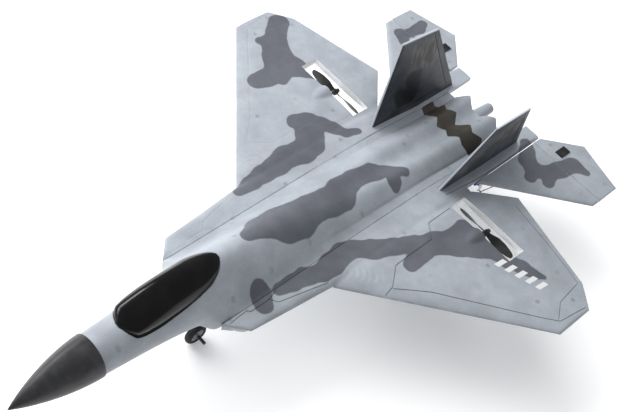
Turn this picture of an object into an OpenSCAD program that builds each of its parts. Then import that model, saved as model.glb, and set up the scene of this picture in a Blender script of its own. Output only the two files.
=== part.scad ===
// Twin-motor model jet: moulded foam airframe with a propeller turning in a slot through each wing.
// Lengths in mm, nose towards +X, left wing towards +Y, the wheels stand on Z = 0.

/* [Airframe] */
// span over the wing tips
wing_span = 640; // [600:10:700]
// height of the wing's middle plane over the floor
wing_z = 130; // [120:1:140]
// thickness of the wing at its root
wing_root_t = 21; // [18:1:23]
// thickness of the wing at its tip
wing_tip_t = 8; // [6:1:10]
// thickness of the fixed tailplane
stab_t = 7; // [6:0.5:9]
// height of the canopy above its seat
canopy_h = 25; // [18:1:32]
// height of the fins above the tail booms
fin_h = 125; // [100:5:140]
// thickness of the fins at the root
fin_t = 6; // [5:0.5:8]

/* [Drive] */
// propeller diameter
prop_d = 98; // [88:1:102]
// propeller pitch
prop_pitch = 76; // [50:2:100]
// widest blade chord
blade_chord = 15; // [11:1:17]
// motor can diameter
motor_d = 18; // [16:0.5:19]

/* [Landing gear] */
// tyre diameter
tyre_d = 33; // [28:1:36]
// tyre width
tyre_w = 11; // [9:0.5:12]
// wire diameter of the gear legs
leg_wire = 2.5; // [2:0.1:3]

/* [Controls] */
// radius of the control horns and servo arms at the pushrod
horn_r = 14; // [12:0.5:16]
// pushrod wire diameter
rod_wire = 1.5; // [1.2:0.1:1.6]

/* [Output] */

/* [Hidden] */

eps = 0.01;
gap = 0.3;
run_fit = 0.05;
// leg wire is a little thicker where it is bent
leg_bend = 1.2;
// sleeve over each bend of a pushrod: its radius in wire radii, and half its length
rod_sleeve = 1.35;
rod_sleeve_l = 1.2;
sy = wing_span / 640;

// nose cone and fuselage stations
cone_x = 334;
cone_tip_x = 446;
cone_r = 29;
cone_z = 10;
body_end_x = -358;
seam_y = 56;

// slots and motors
slot_x0 = -212.5;
slot_x1 = -182.5;
slot_y0 = 96;
slot_y1 = 206;
hub_y = 151;
hub_z = -11.5;
shaft_r = 1;
boss_r = 3;
boss_bore = shaft_r + run_fit;
hub_r = 4.5;
mount_r = 11.5;
screw_r = 0.9;
prop_x = -203;

// tail
hinge_x = -385.5;
stab_z = -12;
stab_y0 = 86;
tongue_x0 = -372;
tongue_x1 = -292;
tongue_y = 78;
stab_y1 = 211.5;
elev_nose_r = 3.2;
horn_y = 122;

// servo, lying on its side under the boom
servo_x = -270;
servo_z = -22;
arm_y = 86.2;
servo_boss_r = 3;
servo_pin_r = 2;

// landing gear
nose_x = 165;
main_x = -110;
main_y = 72;
axle_z = tyre_d / 2 - wing_z;
axle_r = leg_wire / 2;
nose_leg_y = -11;

// canopy seat
seat_x0 = 155;
seat_x1 = 300;
seat_z0 = 43;
seat_z1 = 39.5;

// battery bay
bay_x0 = 172;
bay_x1 = 282;
bay_w = 34;
bay_z = -16;

belly_x0 = 5;
belly_x1 = 140;
belly_z = -29.4;

spar_x = -75;
spar_r = 3;
spar_z = -3;
spar_half = 190;

foam_blue = "#ccd5dd";
black_plastic = "#1c1c1e";
steel = "#a8acb0";

function lerp(a, b, t) = a + (b - a) * t;
// straight-line reading of a station table: rows are [x, value, value ...]
function tab(t, x, c) =
  x >= t[0][0] ? t[0][c] :
  x <= t[len(t) - 1][0] ? t[len(t) - 1][c] :
  [for (i = [0 : len(t) - 2]) if (x <= t[i][0] && x > t[i + 1][0])
     lerp(t[i][c], t[i + 1][c], (x - t[i][0]) / (t[i + 1][0] - t[i][0]))][0];

// closed skin over rings that all have the same number of points
function flip(f) = [for (t = f) [t[0], t[2], t[1]]];
function sum(v, i = 0) = i == len(v) - 1 ? v[i] : v[i] + sum(v, i + 1);
module loft(rings) {
  n = len(rings[0]);
  m = len(rings);
  ends = [sum(rings[0]) / n, sum(rings[m - 1]) / n];
  pts = concat([for (r = rings) for (p = r) p], ends);
  side = [for (i = [0 : m - 2]) for (j = [0 : n - 1]) each
    [[i * n + j, (i + 1) * n + (j + 1) % n, i * n + (j + 1) % n],
     [i * n + j, (i + 1) * n + j, (i + 1) * n + (j + 1) % n]]];
  cap0 = [for (j = [0 : n - 1]) [n * m, j, (j + 1) % n]];
  cap1 = [for (j = [0 : n - 1]) [n * m + 1, (m - 1) * n + (j + 1) % n, (m - 1) * n + j]];
  all = concat(side, cap0, cap1);
  // faces must run clockwise seen from outside, whichever way the rings go round
  inward = sum([for (t = all) cross(pts[t[0]], pts[t[1]]) * pts[t[2]]]);
  polyhedron(points = pts, faces = inward > 0 ? flip(all) : all, convexity = 10);
}

module lift() {
  translate([0, 0, wing_z]) children();
}

module on_side(s) {
  mirror([0, s < 0 ? 1 : 0, 0]) lift() children();
}

// cylinder along X from x0 to x1
module rod_x(x0, x1, r, y = 0, z = 0, fn = 48) {
  translate([x0, y, z]) rotate([0, 90, 0]) cylinder(h = x1 - x0, r = r, $fn = fn);
}

// cylinder along Y from y0 to y1
module rod_y(y0, y1, r, x = 0, z = 0, fn = 48) {
  translate([x, y0, z]) rotate([-90, 0, 0]) cylinder(h = y1 - y0, r = r, $fn = fn);
}

// cylinder along Z from z0 to z1
module rod_z(x, y, z0, z1, r, fn = 48) {
  translate([x, y, z0]) cylinder(h = z1 - z0, r = r, $fn = fn);
}

module box(x0, x1, y0, y1, z0, z1) {
  translate([x0, y0, z0]) cube([x1 - x0, y1 - y0, z1 - z0]);
}

// fuselage stations: x, half width, top, side edge, bottom, roundness of the crown, twin hump
body = [
  [334, 27.5, 37, 10, -17, 1, 0],
  [310, 28.5, 40, 9, -20, 1, 0],
  [285, 30, 43, 9, -23, 1, 0],
  [250, 33, 46, 9, -26, 1, 0],
  [220, 37, 48, 10, -28, 1, 0],
  [201, 41, 52, 11, -29, 0.9, 0],
  [188, 54.5, 55, 7, -29, 0.5, 0],
  [170, 55.5, 58, 6, -30, 0.2, 0],
  [145, seam_y, 59, 6, -30, 0, 0],
  [100, seam_y, 54, 6, -30, 0, 0],
  [50, seam_y, 47, 6, -30, 0, 0],
  [0, seam_y, 40, 6, -30, 0, 0.1],
  [-60, seam_y, 32, 6, -29, 0, 0.3],
  [-120, seam_y, 24, 5, -28, 0, 0.6],
  [-180, seam_y, 18, 3, -26, 0, 0.9],
  [-230, seam_y, 14, -3, -24, 0, 1],
  [-285, seam_y, 11, -9, -22, 0, 1],
  [-330, seam_y, 9, -11, -19, 0, 1],
  [-358, seam_y, 7, -12, -17, 0, 1]
];

half_n = 20;
function dome(u) = sqrt(max(0, 1 - u * u));
function bell(u) = pow(max(0, 1 - u * u), 1.6);
hump_end = 0.78;
function hump(u) = u >= hump_end ? 0 :
  pow(1 - pow(u / hump_end, 4), 0.7) * (0.66 + 0.34 * pow(sin(180 * u / hump_end), 2));
function crown(u, e, h) = lerp(lerp(bell(u), hump(u), h), dome(u), e);
function keel(u) = pow(max(0, 1 - pow(u, 5)), 0.5);

function body_ring(x) =
  let (w = tab(body, x, 1), zt = tab(body, x, 2), ze = tab(body, x, 3), zb = tab(body, x, 4),
       e = tab(body, x, 5), h = tab(body, x, 6), b = e > 0.6 ? 1 : 0)
  concat(
    [for (k = [0 : half_n - 1]) let (c = cos(180 * k / half_n))
      [x, w * c, ze + (zt - ze) * crown(abs(c), e, h)]],
    [for (k = [0 : half_n - 1]) let (c = -cos(180 * k / half_n))
      [x, w * c, ze - (ze - zb) * lerp(keel(abs(c)), dome(c), e)]]);

// height of the crown over a point of the plan
function skin_z(x, y) =
  let (w = tab(body, x, 1), zt = tab(body, x, 2), ze = tab(body, x, 3))
  ze + (zt - ze) * crown(abs(y) / w, tab(body, x, 5), tab(body, x, 6));

// canopy stations: x, half width, share of the full height
hood = [
  [300, 3, 0.16],
  [294, 15, 0.26],
  [286, 22.5, 0.42],
  [270, 25, 0.68],
  [250, 26, 0.88],
  [228, 26, 1],
  [205, 25.5, 1],
  [185, 23.3, 0.92],
  [168, 17, 0.78],
  [159, 9.6, 0.68],
  [155, 3, 0.6]
];
hood_n = 14;
hood_sink = 2;
hood_wall = 4.5;
hood_fit = 0.5;

function seat_line(x) = lerp(seat_z0, seat_z1, (x - seat_x0) / (seat_x1 - seat_x0));
// the canopy's widest line never lies under the crown, so that it lifts straight off
function hood_seat(r) = max(seat_line(r[0]), skin_z(r[0], r[1]));
function hood_top(r) = max(seat_line(r[0]) + canopy_h * r[2], hood_seat(r) + 0.5);
function hood_low(r) = skin_z(r[0], r[1]) - hood_sink;

// inset thins the form from outside, low is the height of its flat underside
function hood_ring(r, inset, low) =
  let (w = r[1] - inset, z = hood_seat(r), h = hood_top(r) - z - inset)
  concat(
    [for (k = [0 : hood_n]) let (a = 180 * k / hood_n) [r[0], w * cos(a), z + h * sin(a)]],
    [[r[0], -w, low], [r[0], w, low]]);

// shaft with upright walls that the canopy drops into
module hood_pocket() {
  loft([for (r = hood)
    let (x = r[0] + (r[0] > 230 ? hood_fit : -hood_fit), w = r[1] + hood_fit,
         low = hood_low(r) - hood_fit)
    [[x, w, low], [x, -w, low], [x, -w, 90], [x, w, 90]]]);
}

// wing stations: y, leading edge, trailing edge
wing_rows = [
  [84, 43, -231],
  [93, 35.5, -231],
  [117, 15.2, -255],
  [140.7, -4.8, -279],
  [190, -46.6, -267],
  [240, -88.9, -255],
  [287.7, -129.3, -243.6],
  [304, -143, -230.7],
  [320, -156.6, -218]
];
foil_n = 9;
wing_mid = -3;

function wing_t(y) = lerp(wing_root_t, wing_tip_t, (y - 84) / 236);
function foil(c) =
  c < 0.25 ? sqrt(1 - pow(1 - c / 0.25, 2)) : 1 - 0.82 * pow((c - 0.25) / 0.75, 2.6);
function foil_ring(y, le, te, t, zm, yy) = concat(
  [for (k = [0 : foil_n]) let (c = (1 - cos(180 * k / foil_n)) / 2)
    [lerp(le, te, c), yy, zm + t / 2 * foil(c)]],
  [for (k = [foil_n : -1 : 1]) let (c = (1 - cos(180 * k / foil_n)) / 2)
    [lerp(le, te, c), yy, zm - t / 2 * foil(c)]]);

module wing_panel() {
  loft([for (r = wing_rows)
    foil_ring(r[0], r[1], r[2], wing_t(r[0]), wing_mid * wing_t(r[0]) / wing_root_t, r[0] * sy)]);
}

// shoulder that carries the wing: x, outer edge, top, middle of the edge, bottom
shoulder = [
  [186, 57.8, 7, 5, -6],
  [162, 82.7, 6.5, 2.5, -16],
  [100, 88, 6.5, 0, -18],
  [34.7, 94, 6.5, -1, -18],
  [-60, 94, 6.5, -1, -18],
  [-180, 94, 4, -2, -20],
  [-231, 86, -2, -6, -22],
  [-283, 84, -8.5, -12, -22],
  [-330, 84, -9, -12, -20],
  [-398, 83, -9, -12, -16]
];

function shoulder_ring(r) =
  let (y0 = seam_y + gap / 2, y1 = r[1], w = y1 - y0)
  [[r[0], y0, r[2]], [r[0], y1 - 0.22 * w, r[2]], [r[0], y1 - 0.05 * w, r[3] + 1.5],
   [r[0], y1, r[3]], [r[0], y1 - 0.05 * w, r[3] - 2], [r[0], y1 - 0.3 * w, lerp(r[3], r[4], 0.7)],
   [r[0], y1 - 0.5 * w, r[4]], [r[0], y0, r[4]]];

module teardrop(x0, x1, r, z) {
  translate([x1, hub_y * sy, z]) rotate([0, 90, 0])
    rotate_extrude($fn = 48)
      polygon(concat([[0, 0]], [for (k = [0 : 10]) let (t = k / 10)
        [r * sqrt(1 - t * t), t * (x0 - x1)]]));
}

module gear_pocket(x, y, z) {
  box(x - 16 - gap, x + 16 + gap, y - 12 - gap, y + 12 + gap, z - 60, z);
}

module wing_half(s) {
  color(foam_blue)
  on_side(s) difference() {
    union() {
      loft([for (r = shoulder) shoulder_ring(r)]);
      wing_panel();
      teardrop(-106, slot_x1, 13.5, hub_z);
      teardrop(-150, slot_x1, 12.5, -2);
    }
    box(slot_x0, slot_x1, slot_y0 * sy, slot_y1 * sy, -60, 60);
    rod_x(slot_x1 - 24, slot_x1 + 24, motor_d / 2 + gap, hub_y * sy, hub_z);
    rod_y(seam_y - 1, spar_half + 1, spar_r + run_fit, spar_x, spar_z);
    gear_pocket(main_x, main_y, -14.5);
    rod_z(main_x, main_y, -15, -9.5, axle_r + run_fit);
    box(servo_x - 18 - gap, servo_x + 6 + gap, 60 - gap, 100, -60, servo_z + 6 + gap);
    box(tongue_x0 - 0.1, tongue_x1 + 0.1, tongue_y - 0.1, 100, stab_z - 2.05, stab_z + 2.05);
    fin_solid();
  }
}

module wing_left() { wing_half(1); }
module wing_right() { wing_half(-1); }

module fuselage() {
  color(foam_blue)
  lift() difference() {
    union() {
      difference() {
        loft([for (r = body) body_ring(r[0])]);
        nozzle_notch(1);
        nozzle_notch(-1);
      }
      tail_cone();
    }
    hood_pocket();
    // flat on the belly that the model rests on when it is off its wheels
    box(belly_x0, belly_x1, -seam_y, seam_y, -60, belly_z);
    box(bay_x0, bay_x1, -bay_w / 2, bay_w / 2, bay_z, 80);
    rod_y(-seam_y - 5, seam_y + 5, spar_r + run_fit, spar_x, spar_z);
    box(nose_x - 16 - gap, nose_x + 20 + gap, -14 - gap, 14 + gap, -60, -25.5);
    rod_z(nose_x + 6, nose_leg_y, -26, -19.5, axle_r + run_fit);
  }
}

// rounded sting between the two outlets
module tail_cone() {
  translate([-335, 0, -9]) rotate([0, -93, 0])
    cylinder(h = 46, r1 = 10, r2 = 8, $fn = 40);
}

// each outlet ends in a point, so its rear edge is cut back on both sides
module nozzle_notch(s) {
  translate([0, 0, -60]) linear_extrude(120)
    polygon([[-343, 0], [-342, s * 10], [-357, s * 26], [-400, s * 26], [-400, 0]]);
  translate([0, 0, -60]) linear_extrude(120)
    polygon([[-357, s * 26], [-349, s * 38], [-349, s * 60], [-400, s * 60], [-400, s * 26]]);
}

module nose_cone() {
  color(black_plastic)
  translate([cone_x + gap, 0, cone_z + wing_z]) rotate([0, 90, 0])
    rotate_extrude($fn = 64)
      polygon(concat([[0, 0]], [for (k = [0 : 16]) let (t = k / 16, l = cone_tip_x - cone_x - gap)
        [max(0, cone_r * pow(1 - pow(t, 1.75), 0.92)), t * l]]));
}

module canopy() {
  color("#101011")
  lift() difference() {
    loft([for (r = hood) hood_ring(r, 0, hood_low(r))]);
    // hollow underside over the battery bay
    loft([for (r = hood) if (r[0] > 170 && r[0] < 280)
      hood_ring(r, hood_wall, hood_low(r) - hood_wall)]);
  }
}

fin_tip_t = 3.5;
fin_z0 = -9;
fin_z1 = 1.5;
module fin_solid() {
  // rows: leading edge, trailing edge, side, height of the leading edge, fall to the rear, thickness
  rows = [[-187, -364, 65.6, fin_z0, 2, fin_t],
          [-190, -359, 67, fin_z1, 1, lerp(fin_t, fin_tip_t, 0.1)],
          [-232, -306, 87.8, fin_h, 8, fin_tip_t]];
  loft([for (r = rows)
    concat(
      [for (k = [0 : foil_n]) let (c = (1 - cos(180 * k / foil_n)) / 2)
        [lerp(r[0], r[1], c), r[2] + r[5] / 2 * foil(c), r[3] - r[4] * c]],
      [for (k = [foil_n : -1 : 1]) let (c = (1 - cos(180 * k / foil_n)) / 2)
        [lerp(r[0], r[1], c), r[2] - r[5] / 2 * foil(c), r[3] - r[4] * c]])]);
}
module fin(s) {
  color("#5c6168") on_side(s) fin_solid();
}
module fin_left() { fin(1); }
module fin_right() { fin(-1); }

module stab(s) {
  color(foam_blue)
  on_side(s) union() {
    box(tongue_x0, tongue_x1, tongue_y, stab_y0 + 2, stab_z - 2, stab_z + 2);
    loft([for (y = [stab_y0 - 0.4, 110, 150, 185, stab_y1])
      let (le = lerp(-257, -369, (y - stab_y0) / (stab_y1 - stab_y0)),
           t = lerp(stab_t, stab_t - 1.5, (y - stab_y0) / (stab_y1 - stab_y0)))
      concat(
        [for (k = [0 : 5]) let (a = 90 * k / 5)
          [le - 10 * (1 - cos(90 - a)), y, stab_z + t / 2 * sin(a)]],
        [[hinge_x + elev_nose_r + gap + 0.1, y, stab_z + t / 2],
         [hinge_x + elev_nose_r + gap + 0.1, y, stab_z - t / 2]],
        [for (k = [5 : -1 : 1]) let (a = 90 * k / 5)
          [le - 10 * (1 - cos(90 - a)), y, stab_z - t / 2 * sin(a)]])]);
  }
}
module stab_left() { stab(1); }
module stab_right() { stab(-1); }

// fittings on the elevator: a plate on each face, and pins that pass through it
plate_d = 21;
plate_l = 20;
plate_w = 13;
plate_t = 1.4;
pin_r = 0.98;
pin_d = [15, 27];
elev_te = 1.2;
// run from the hinge to the trailing edge, where the fittings' outer side lies
elev_run = 57;
function elev_z(d) = lerp(elev_nose_r, elev_te, d / elev_run) + 0.18;
elev_slope = atan((elev_nose_r - elev_te) / elev_run);

// elevator stations: side, trailing edge
elev_rows = [[84.6, -400], [133.2, -445.9], [172, -435], [stab_y1, -424.5]];

module elevator(s) {
  color(foam_blue)
  on_side(s) difference() {
    union() {
      rod_y(elev_rows[0][0], stab_y1, elev_nose_r, hinge_x, stab_z);
      loft([for (r = elev_rows)
        [[hinge_x, r[0], stab_z + elev_nose_r], [r[1], r[0], stab_z + elev_te],
         [r[1], r[0], stab_z - elev_te], [hinge_x, r[0], stab_z - elev_nose_r]]]);
    }
    for (d = pin_d) rod_z(hinge_x - d, horn_y, stab_z - 10, stab_z + 10, pin_r + 0.02);
  }
}
module elevator_left() { elevator(1); }
module elevator_right() { elevator(-1); }

module horn_plate(s) {
  color(black_plastic)
  on_side(s)
    translate([hinge_x - plate_d, horn_y, stab_z + elev_z(plate_d)])
      rotate([0, -elev_slope, 0])
        translate([-plate_l / 2, -plate_w / 2, 0]) cube([plate_l, plate_w, plate_t]);
}

module horn_plate_left() { horn_plate(1); }
module horn_plate_right() { horn_plate(-1); }

module control_horn(s) {
  color(black_plastic)
  on_side(s) difference() {
    union() {
      translate([hinge_x - plate_d, horn_y, stab_z - elev_z(plate_d)])
        rotate([0, elev_slope, 0])
          translate([-plate_l / 2, -plate_w / 2, -plate_t]) cube([plate_l, plate_w, plate_t]);
      for (d = pin_d) rod_z(hinge_x - d, horn_y, stab_z - 3.6, stab_z + 2, pin_r, 24);
      translate([0, horn_y + 1, 0]) rotate([90, 0, 0]) linear_extrude(2)
        polygon([[hinge_x - 30, stab_z - 3.6], [hinge_x - 12, stab_z - 3.9],
                 [hinge_x + 3, stab_z - horn_r + 1], [hinge_x + 2.4, stab_z - horn_r - 2.4],
                 [hinge_x - 2.4, stab_z - horn_r - 2.4]]);
    }
    rod_y(horn_y - 5, horn_y + 5, rod_wire / 2 + 0.25, hinge_x, stab_z - horn_r);
  }
}
module control_horn_left() { control_horn(1); }
module control_horn_right() { control_horn(-1); }

module servo(s) {
  color("#2a4a7a")
  on_side(s) difference() {
    union() {
      box(servo_x - 17, servo_x + 6, 60, 82, servo_z - 6, servo_z + 6);
      rod_y(82 - eps, 85, 5.5, servo_x, servo_z);
    }
    rod_y(80, 90, servo_pin_r + run_fit, servo_x, servo_z);
  }
}
module servo_left() { servo(1); }
module servo_right() { servo(-1); }

module servo_arm(s) {
  color("#e6e6e2")
  on_side(s) difference() {
    union() {
      rod_y(80.2, arm_y + 1, servo_pin_r, servo_x, servo_z);
      rod_y(85.3, 87.8, 3.6, servo_x, servo_z);
      hull() {
        rod_y(86, 87.8, 3, servo_x, servo_z, 32);
        rod_y(86, 87.8, 2.2, servo_x, servo_z - horn_r, 32);
      }
    }
    rod_y(80, 95, rod_wire / 2 + run_fit, servo_x, servo_z - horn_r);
  }
}
module servo_arm_left() { servo_arm(1); }
module servo_arm_right() { servo_arm(-1); }

module bar(a, b, r, fn = 48) {
  d = b - a;
  l = norm(d);
  translate(a) rotate([0, acos(d[2] / l), atan2(d[1], d[0])]) cylinder(h = l, r = r, $fn = fn);
}

module pushrod(s) {
  r = rod_wire / 2;
  y0 = 90.4;
  y1 = horn_y - 4;
  p0 = [servo_x, y0, servo_z - horn_r];
  p1 = [hinge_x, y1, stab_z - horn_r];
  color(steel)
  on_side(s) union() {
    rod_y(84.9, y0, r, p0[0], p0[2]);
    for (p = [p0, p1])
      rod_y(p[1] - rod_sleeve_l, p[1] + rod_sleeve_l, rod_sleeve * r, p[0], p[2]);
    bar(p0, p1, r);
    rod_y(y1, horn_y + 3.5, r, p1[0], p1[2]);
  }
}
module pushrod_left() { pushrod(1); }
module pushrod_right() { pushrod(-1); }

module wing_spar() {
  color("#26272a")
  lift() difference() {
    rod_y(-spar_half, spar_half, spar_r, spar_x, spar_z);
    rod_y(-spar_half - 1, spar_half + 1, spar_r - 1, spar_x, spar_z);
  }
}

module bay_tray() {
  color("#b98f5b")
  lift() difference() {
    box(bay_x0 + 1, bay_x1 - 1, -bay_w / 2 + 0.5, bay_w / 2 - 0.5, bay_z, bay_z + 2);
    for (x = [bay_x0 + 6, bay_x1 - 6]) rod_z(x, 0, bay_z - 1, bay_z + 3, 1.5);
  }
}

batt_x0 = 200;
batt_x1 = 266;
module battery() {
  color("#3355aa")
  lift() box(batt_x0, batt_x1, -14, 14, bay_z + 2, bay_z + 22);
}

module battery_strap() {
  color("#202022")
  lift() difference() {
    box(226, 242, -15.2, 15.2, bay_z + 2, bay_z + 23.2);
    box(225, 243, -14, 14, bay_z, bay_z + 22);
  }
}

module control_board() {
  color("#2d6b45")
  lift() union() {
    box(bay_x0 + 12, bay_x0 + 26, -13, 13, bay_z + 2, bay_z + 4);
    box(bay_x0 + 14, bay_x0 + 22, -6, 6, bay_z + 4 - eps, bay_z + 6);
    box(bay_x0 + 13, bay_x0 + 25, 7, 12, bay_z + 4 - eps, bay_z + 10);
  }
}

module motor(s) {
  color(steel)
  on_side(s) difference() {
    union() {
      rod_x(slot_x1 + 0.2, slot_x1 + 23, motor_d / 2, hub_y * sy, hub_z);
      rod_x(slot_x1 - 3, slot_x1 + 1, boss_r, hub_y * sy, hub_z);
    }
    rod_x(slot_x1 - 4, slot_x1 + 20, boss_bore, hub_y * sy, hub_z);
  }
}
module motor_left() { motor(1); }
module motor_right() { motor(-1); }

module motor_mount(s) {
  color(black_plastic)
  on_side(s) difference() {
    rod_x(slot_x1 - 2, slot_x1, mount_r, hub_y * sy, hub_z);
    rod_x(slot_x1 - 3, slot_x1 + 1, boss_r + 0.02, hub_y * sy, hub_z);
    for (a = [45 : 90 : 315])
      translate([0, hub_y * sy, hub_z]) rotate([a, 0, 0])
        rod_x(slot_x1 - 3, slot_x1 + 1, screw_r, 6.5, 0, 24);
  }
}
module motor_mount_left() { motor_mount(1); }
module motor_mount_right() { motor_mount(-1); }

module prop_shaft(s) {
  color(steel)
  on_side(s) rod_x(prop_x - 6, slot_x1 + 18, shaft_r, hub_y * sy, hub_z);
}
module prop_shaft_left() { prop_shaft(1); }
module prop_shaft_right() { prop_shaft(-1); }

// blade stations: share of the radius, share of the chord, thickness
blade = [[0.07, 0.42, 2.6], [0.2, 0.6, 2.2], [0.4, 0.95, 1.7], [0.6, 1, 1.4], [0.8, 0.84, 1.1],
         [0.94, 0.58, 0.9], [1, 0.2, 0.7]];
function blade_ring(r, c, t) =
  let (b = min(50, atan(prop_pitch / (2 * PI * r))), n = 5)
  concat(
    [for (k = [0 : n]) let (q = 0.5 - k / n, h = t * (1 - 4 * q * q) / 2 + 0.12)
      [q * c * sin(b) - h * cos(b), r, q * c * cos(b) + h * sin(b)]],
    [for (k = [n : -1 : 0]) let (q = 0.5 - k / n, h = 0.12 + t * (1 - 4 * q * q) / 5)
      [q * c * sin(b) + h * cos(b), r, q * c * cos(b) - h * sin(b)]]);

module propeller(s) {
  color(black_plastic)
  on_side(s) translate([prop_x, hub_y * sy, hub_z]) difference() {
    union() {
      rod_x(-3.5, 3.5, hub_r);
      for (a = [0, 180]) rotate([a, 0, 0]) mirror([0, 0, 1])
        loft([for (b = blade) blade_ring(b[0] * prop_d / 2, b[1] * blade_chord, b[2])]);
    }
    rod_x(-5, 5, shaft_r + 0.02);
  }
}
module propeller_left() { propeller(1); }
module propeller_right() { propeller(-1); }

module prop_nut(s) {
  color(black_plastic)
  on_side(s) translate([prop_x, hub_y * sy, hub_z]) difference() {
    rod_x(-6.8, -3.6, 3.2, 0, 0, 6);
    rod_x(-6.1, 0, shaft_r + 0.02);
  }
}
module prop_nut_left() { prop_nut(1); }
module prop_nut_right() { prop_nut(-1); }

// landing gear: plate, bent wire leg, wheel and keeper
module plate_at(x, y, z, lx0, lx1, ly, leg_x, leg_y) {
  difference() {
    box(x - lx0, x + lx1, y - ly, y + ly, z - 3, z);
    rod_z(leg_x, leg_y, z - 4, z + 1, axle_r + 0.02);
    for (dx = [-lx0 + 4, lx1 - 4], dy = [-ly + 4, ly - 4])
      if (norm([x + dx - leg_x, y + dy - leg_y]) > 5) rod_z(x + dx, y + dy, z - 4, z + 1, 1);
  }
}

module nose_plate() {
  color("#d8d8d4")
  lift() plate_at(nose_x, 0, -25.5, 16, 20, 14, nose_x + 6, nose_leg_y);
}

module main_plate(s) {
  color("#d8d8d4")
  on_side(s) plate_at(main_x, main_y, -14.5, 16, 16, 12, main_x, main_y);
}
module main_plate_left() { main_plate(1); }
module main_plate_right() { main_plate(-1); }

module nose_leg() {
  top = [nose_x + 6, nose_leg_y, -19.7];
  knee = [nose_x + 6, nose_leg_y, -40];
  foot = [nose_x, nose_leg_y, axle_z];
  color(steel)
  lift() union() {
    bar(knee, top, axle_r);
    translate(knee) sphere(r = leg_bend * axle_r, $fn = 48);
    bar(foot, knee, axle_r);
    translate(foot) sphere(r = leg_bend * axle_r, $fn = 48);
    rod_y(nose_leg_y, 17, axle_r, nose_x, axle_z);
  }
}

// wheel centred on side y, hub bore runs on the axle wire
module tyre_at(x, y) {
  translate([x, y, axle_z]) rotate([90, 0, 0]) rotate_extrude($fn = 72)
    polygon(concat(
      [[tyre_d / 2 - 6.5, -tyre_w / 2 + 1.5], [tyre_d / 2 - 6.5, tyre_w / 2 - 1.5]],
      [for (k = [0 : 12]) let (a = 180 * k / 12)
        [tyre_d / 2 - 5 + 5 * sin(a), tyre_w / 2 * cos(a)]]));
}
module hub_at(x, y) {
  difference() {
    union() {
      rod_y(y - tyre_w / 2 + 1.6, y + tyre_w / 2 - 1.6, tyre_d / 2 - 6.52, x, axle_z, 72);
      rod_y(y - tyre_w / 2, y + tyre_w / 2, 3.6, x, axle_z);
    }
    rod_y(y - tyre_w, y + tyre_w, axle_r + run_fit, x, axle_z);
    for (a = [0 : 72 : 288])
      translate([x, y, axle_z]) rotate([0, a, 0]) rod_y(-tyre_w, tyre_w, 1.7, 6.5, 0, 24);
  }
}
module keeper_at(x, y0, y1) {
  difference() {
    rod_y(y0, y1, 2.3, x, axle_z);
    rod_y(y0 - 1, y1 - 1.5, axle_r + 0.02, x, axle_z);
  }
}

module nose_tyre() { color("#141414") lift() tyre_at(nose_x, 0); }
module nose_hub() { color("#9a9c9e") lift() hub_at(nose_x, 0); }
module nose_keeper() { color(black_plastic) lift() keeper_at(nose_x, tyre_w / 2 + 0.5, 19); }

main_foot_y = main_y + 14;
main_foot_x = main_x - 4;
main_wheel_y = main_foot_y + 9.5;

module main_leg(s) {
  top = [main_x, main_y, -9.7];
  knee = [main_x, main_y, -30];
  foot = [main_foot_x, main_foot_y, axle_z];
  color(steel)
  on_side(s) union() {
    bar(knee, top, axle_r);
    translate(knee) sphere(r = leg_bend * axle_r, $fn = 48);
    bar(foot, knee, axle_r);
    translate(foot) sphere(r = leg_bend * axle_r, $fn = 48);
    rod_y(main_foot_y, main_foot_y + 22, axle_r, main_foot_x, axle_z);
  }
}
module main_leg_left() { main_leg(1); }
module main_leg_right() { main_leg(-1); }

module main_tyre(s) { color("#141414") on_side(s) tyre_at(main_foot_x, main_wheel_y); }
module main_tyre_left() { main_tyre(1); }
module main_tyre_right() { main_tyre(-1); }
module main_hub(s) { color("#9a9c9e") on_side(s) hub_at(main_foot_x, main_wheel_y); }
module main_hub_left() { main_hub(1); }
module main_hub_right() { main_hub(-1); }
module main_keeper(s) {
  color(black_plastic) on_side(s)
    keeper_at(main_foot_x, main_wheel_y + tyre_w / 2 + 0.5, main_foot_y + 24);
}
module main_keeper_left() { main_keeper(1); }
module main_keeper_right() { main_keeper(-1); }

fuselage();
nose_cone();
canopy();
wing_left();
wing_right();
stab_left();
stab_right();
fin_left();
fin_right();
elevator_left();
elevator_right();
wing_spar();
bay_tray();
battery();
battery_strap();
control_board();
motor_left();
motor_right();
motor_mount_left();
motor_mount_right();
prop_shaft_left();
prop_shaft_right();
propeller_left();
propeller_right();
prop_nut_left();
prop_nut_right();
servo_left();
servo_right();
servo_arm_left();
servo_arm_right();
pushrod_left();
pushrod_right();
horn_plate_left();
horn_plate_right();
control_horn_left();
control_horn_right();
nose_plate();
nose_leg();
nose_tyre();
nose_hub();
nose_keeper();
main_plate_left();
main_plate_right();
main_leg_left();
main_leg_right();
main_tyre_left();
main_tyre_right();
main_hub_left();
main_hub_right();
main_keeper_left();
main_keeper_right();
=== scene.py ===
import math

import bmesh
import bpy
import numpy as np
from mathutils import Matrix, Vector
from mathutils.geometry import delaunay_2d_cdt


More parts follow.
